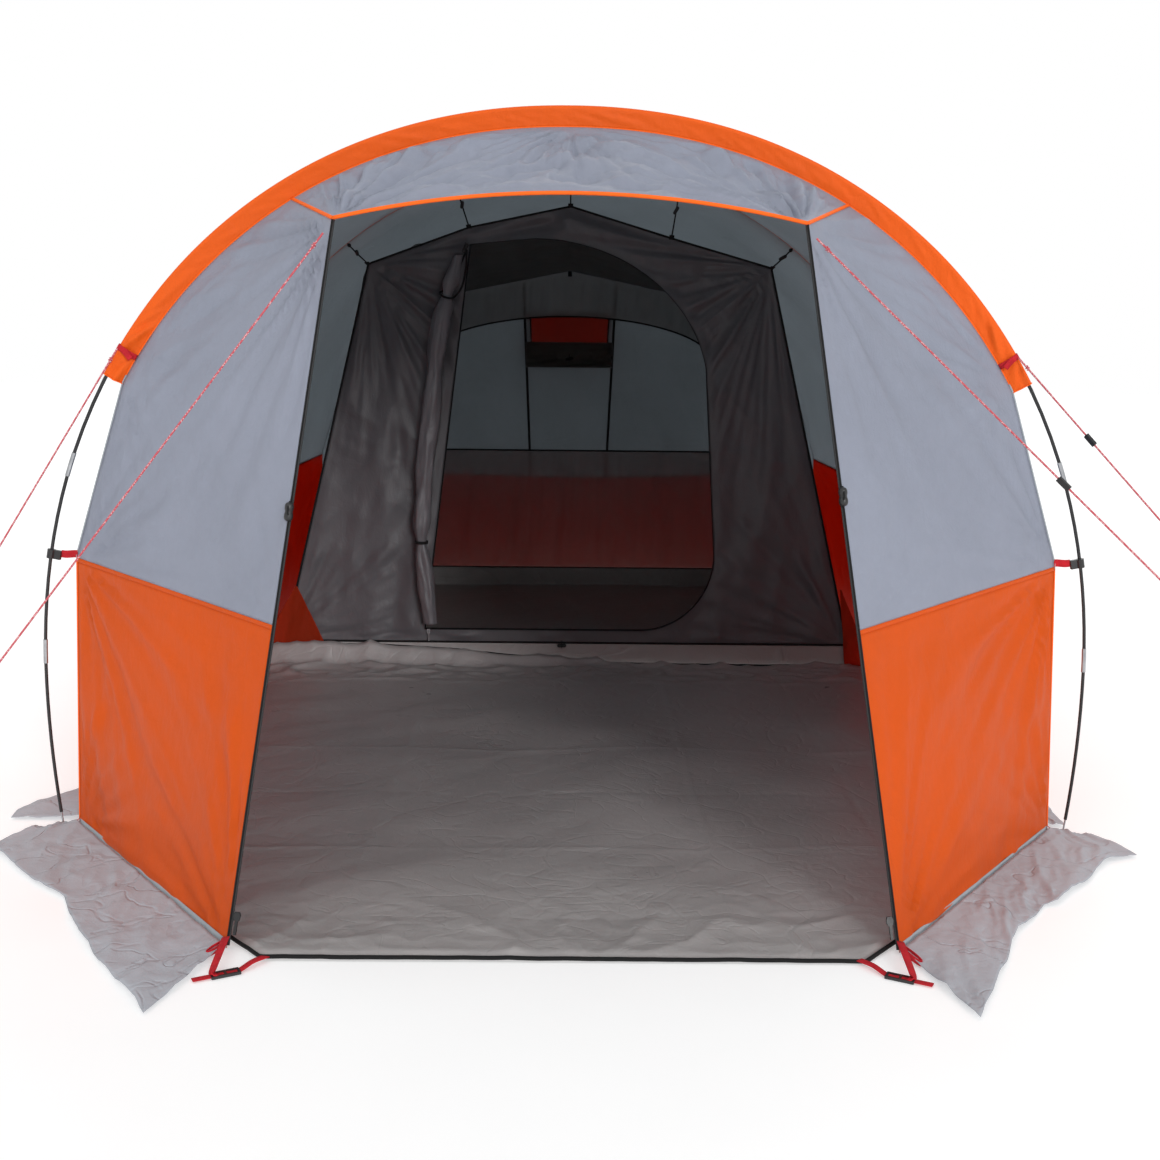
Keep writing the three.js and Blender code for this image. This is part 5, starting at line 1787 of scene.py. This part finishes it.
def clip_straps():
    """Red webbing from each pole clip to the flysheet, folded back on itself and stitched."""
    for label, side in SIDES:
        node = f"{label}_clip_webbing"
        far, near = sorted((low(node)[0], high(node)[0]), reverse=side < 0)
        z = middle(node)[2]
        path = [
            (near, FRONT_Y, z),
            (lerp(near, far, 0.4), FRONT_Y - 0.0015, z - 0.001),
            (far, FRONT_Y + 0.001, z),
            (far - side * 0.010, FRONT_Y - 0.002, z),
        ]
        band = strap(f"{label}_clip_strap", smooth_line(path, 18), 0.020, 0.0026, RED_STRAP, UP)
        ride(band, nodes=[node])


def webbing_loop(name, root, tip, spread, width):
    """A loop of webbing that stands on edge, open in the middle."""
    root, tip = np.array(root), np.array(tip)
    side = unit(np.cross(tip - root, UP))
    half_way = lerp(root, tip, 0.6)
    path = [
        root + side * 0.002,
        half_way + side * spread,
        tip + side * spread * 0.5,
        tip - side * spread * 0.5,
        half_way - side * spread,
        root - side * 0.002,
    ]
    ride(strap(name, smooth_line(path, 40), width, 0.0022, RED_STRAP, UP))


BUCKLE_TURN = math.radians(28)
BUCKLE_BAR = 0.027  # from a buckle's middle to either of its bars
BUCKLE_TRAVEL = 0.042  # how much strap lies past a buckle for it to slide along


def corner_straps():
    """Webbing at the porch's corners: straps from the flysheet and the groundsheet to the buckle
    between them, and a loop for the peg."""
    for label, side in SIDES:
        buckle = middle(f"{label}_corner_buckle")
        along = np.array([side * math.cos(BUCKLE_TURN), -math.sin(BUCKLE_TURN), 0])
        across = np.cross(along, UP)
        corner = DOOR_BOTTOM * [side, 1, 1] + UP * 0.030
        sheet_corner = np.array([side * 0.640, FRONT_Y - 0.850, 0.010])
        outer_bar, inner_bar = buckle + along * BUCKLE_BAR, buckle - along * BUCKLE_BAR
        down = [
            corner,
            lerp(corner, outer_bar, 0.5) + UP * 0.006,
            outer_bar + UP * 0.008,
            outer_bar - along * 0.010 + UP * 0.003,
        ]
        fly_strap = strap(f"{label}_fly_strap", smooth_line(down, 24), 0.018, 0.0022, RED_STRAP, across)
        ride(fly_strap)
        tail = outer_bar + along * BUCKLE_TRAVEL
        out = [
            sheet_corner,
            lerp(sheet_corner, inner_bar, 0.5) + UP * 0.004,
            inner_bar,
            buckle,
            outer_bar,
            tail,
        ]
        sheet_strap = strap(f"{label}_sheet_strap", smooth_line(out, 30), 0.018, 0.0022, RED_STRAP, across)
        ride(sheet_strap)
        long = 0.062 if side > 0 else 0.040
        tip = corner + np.array([side * 0.030, -long, -0.020])
        webbing_loop(f"{label}_peg_loop", corner - UP * 0.010, tip, 0.006, 0.014)


door_toggles()
sleeve_straps()
clip_straps()
corner_straps()

# ---- Pole feet and ferrules ------------------------------------------------------------------


def pole_feet():
    """At each foot, a webbing tab with a ring that the pole's pin stands in."""
    for name, pole, _ in HOOPS:
        tab_look = RED_STRAP if name == "front" else BLACK_STRAP
        for label, side in SIDES:
            foot = pole.line[0] * [side, 1, 1]
            hem = foot - [side * INSET_AT_FOOT, 0, 0]
            tab = [hem + UP * 0.02, hem + [side * 0.015, 0, 0.008], foot + [-side * 0.012, 0, 0.006]]
            t = np.linspace(0, 2 * math.pi, 24)
            eye = foot + np.stack([np.cos(t) * 0.010, np.sin(t) * 0.010, 0 * t + 0.006], axis=1)
            parts = [
                strap(f"{name}_{label}_foot_tab", smooth_line(tab, 14), 0.022, 0.002, tab_look, BACK),
                tube(f"{name}_{label}_foot_ring", eye, 0.0018, STEEL, 8),
            ]
            ride(join(f"{name}_{label}_foot", parts))


FERRULE_FIRST = 0.4575  # lengths along a pole, from its foot
FERRULE_PITCH = 0.515
FERRULE_LONG = 0.065


def extra_ferrules():
    """The mid and rear poles' metal joints, at the front pole's spacing."""
    for name, pole, _ in HOOPS[1:]:
        for label, side in SIDES:
            parts = []
            for k in range(2):
                start = FERRULE_FIRST + k * FERRULE_PITCH
                line = pole.along(np.linspace(start, start + FERRULE_LONG, 6)) * [side, 1, 1]
                parts.append(tube(f"{name}_{label}_ferrule", line, 0.0062, STEEL, 14))
            ride(join(f"{name}_{label}_ferrules", parts))


pole_feet()
extra_ferrules()

# ---- Studio ----------------------------------------------------------------------------------


def sun(name, azimuth, elevation, strength, softness):
    """Even light from one side. Azimuth 0 is the front, and it grows towards the right."""
    light = bpy.data.lights.new(name, "SUN")
    light.energy = strength
    light.angle = math.radians(softness)
    a, e = math.radians(azimuth), math.radians(elevation)
    source = Vector((math.sin(a) * math.cos(e), -math.cos(a) * math.cos(e), math.sin(e)))
    obj = bpy.data.objects.new(name, light)
    obj.rotation_euler = (-source).to_track_quat("-Z", "Y").to_euler()
    bpy.context.scene.collection.objects.link(obj)


def studio_floor():
    n = Nodes("studio_floor")
    grain = n.noise(3.0, 4.0)
    surface = n.principled(
        Base_Color=n.mix(grain, rgb("dcdcdc"), rgb("e2e2e2")),
        Roughness=0.9,
        Normal=n.bump(grain, 0.05, 0.001),
        Emission_Color=rgb("ffffff"),
        Emission_Strength=0.36,
    )
    reach = 40.0
    corners = [(-reach, -reach, 0), (reach, -reach, 0), (reach, reach, 0), (-reach, reach, 0)]
    floor = mesh_object(
        "studio_floor", np.array(corners) - UP * 0.0005, [[0, 1, 2, 3]], [n.finish(surface)], smooth=False
    )


def studio_sky(ambient):
    """White where it is seen, and softer as a light."""
    world = bpy.data.worlds.new("studio")
    world.use_nodes = True
    tree = world.node_tree
    background = tree.nodes["Background"]
    background.inputs["Color"].default_value = (1.0, 1.0, 1.0, 1.0)
    seen = tree.nodes.new("ShaderNodeLightPath").outputs["Is Camera Ray"]
    strength = tree.nodes.new("ShaderNodeMapRange")
    strength.inputs["To Min"].default_value = ambient
    strength.inputs["To Max"].default_value = 1.0
    tree.links.new(seen, strength.inputs["Value"])
    tree.links.new(strength.outputs[0], background.inputs["Strength"])
    bpy.context.scene.world = world


studio_floor()
studio_sky(0.74)
sun("key", 22, 15, 1.25, 18)
sun("fill", -50, 48, 0.35, 50)
sun("back", 170, 35, 0.65, 35)
bpy.context.scene.view_settings.view_transform = "Standard"
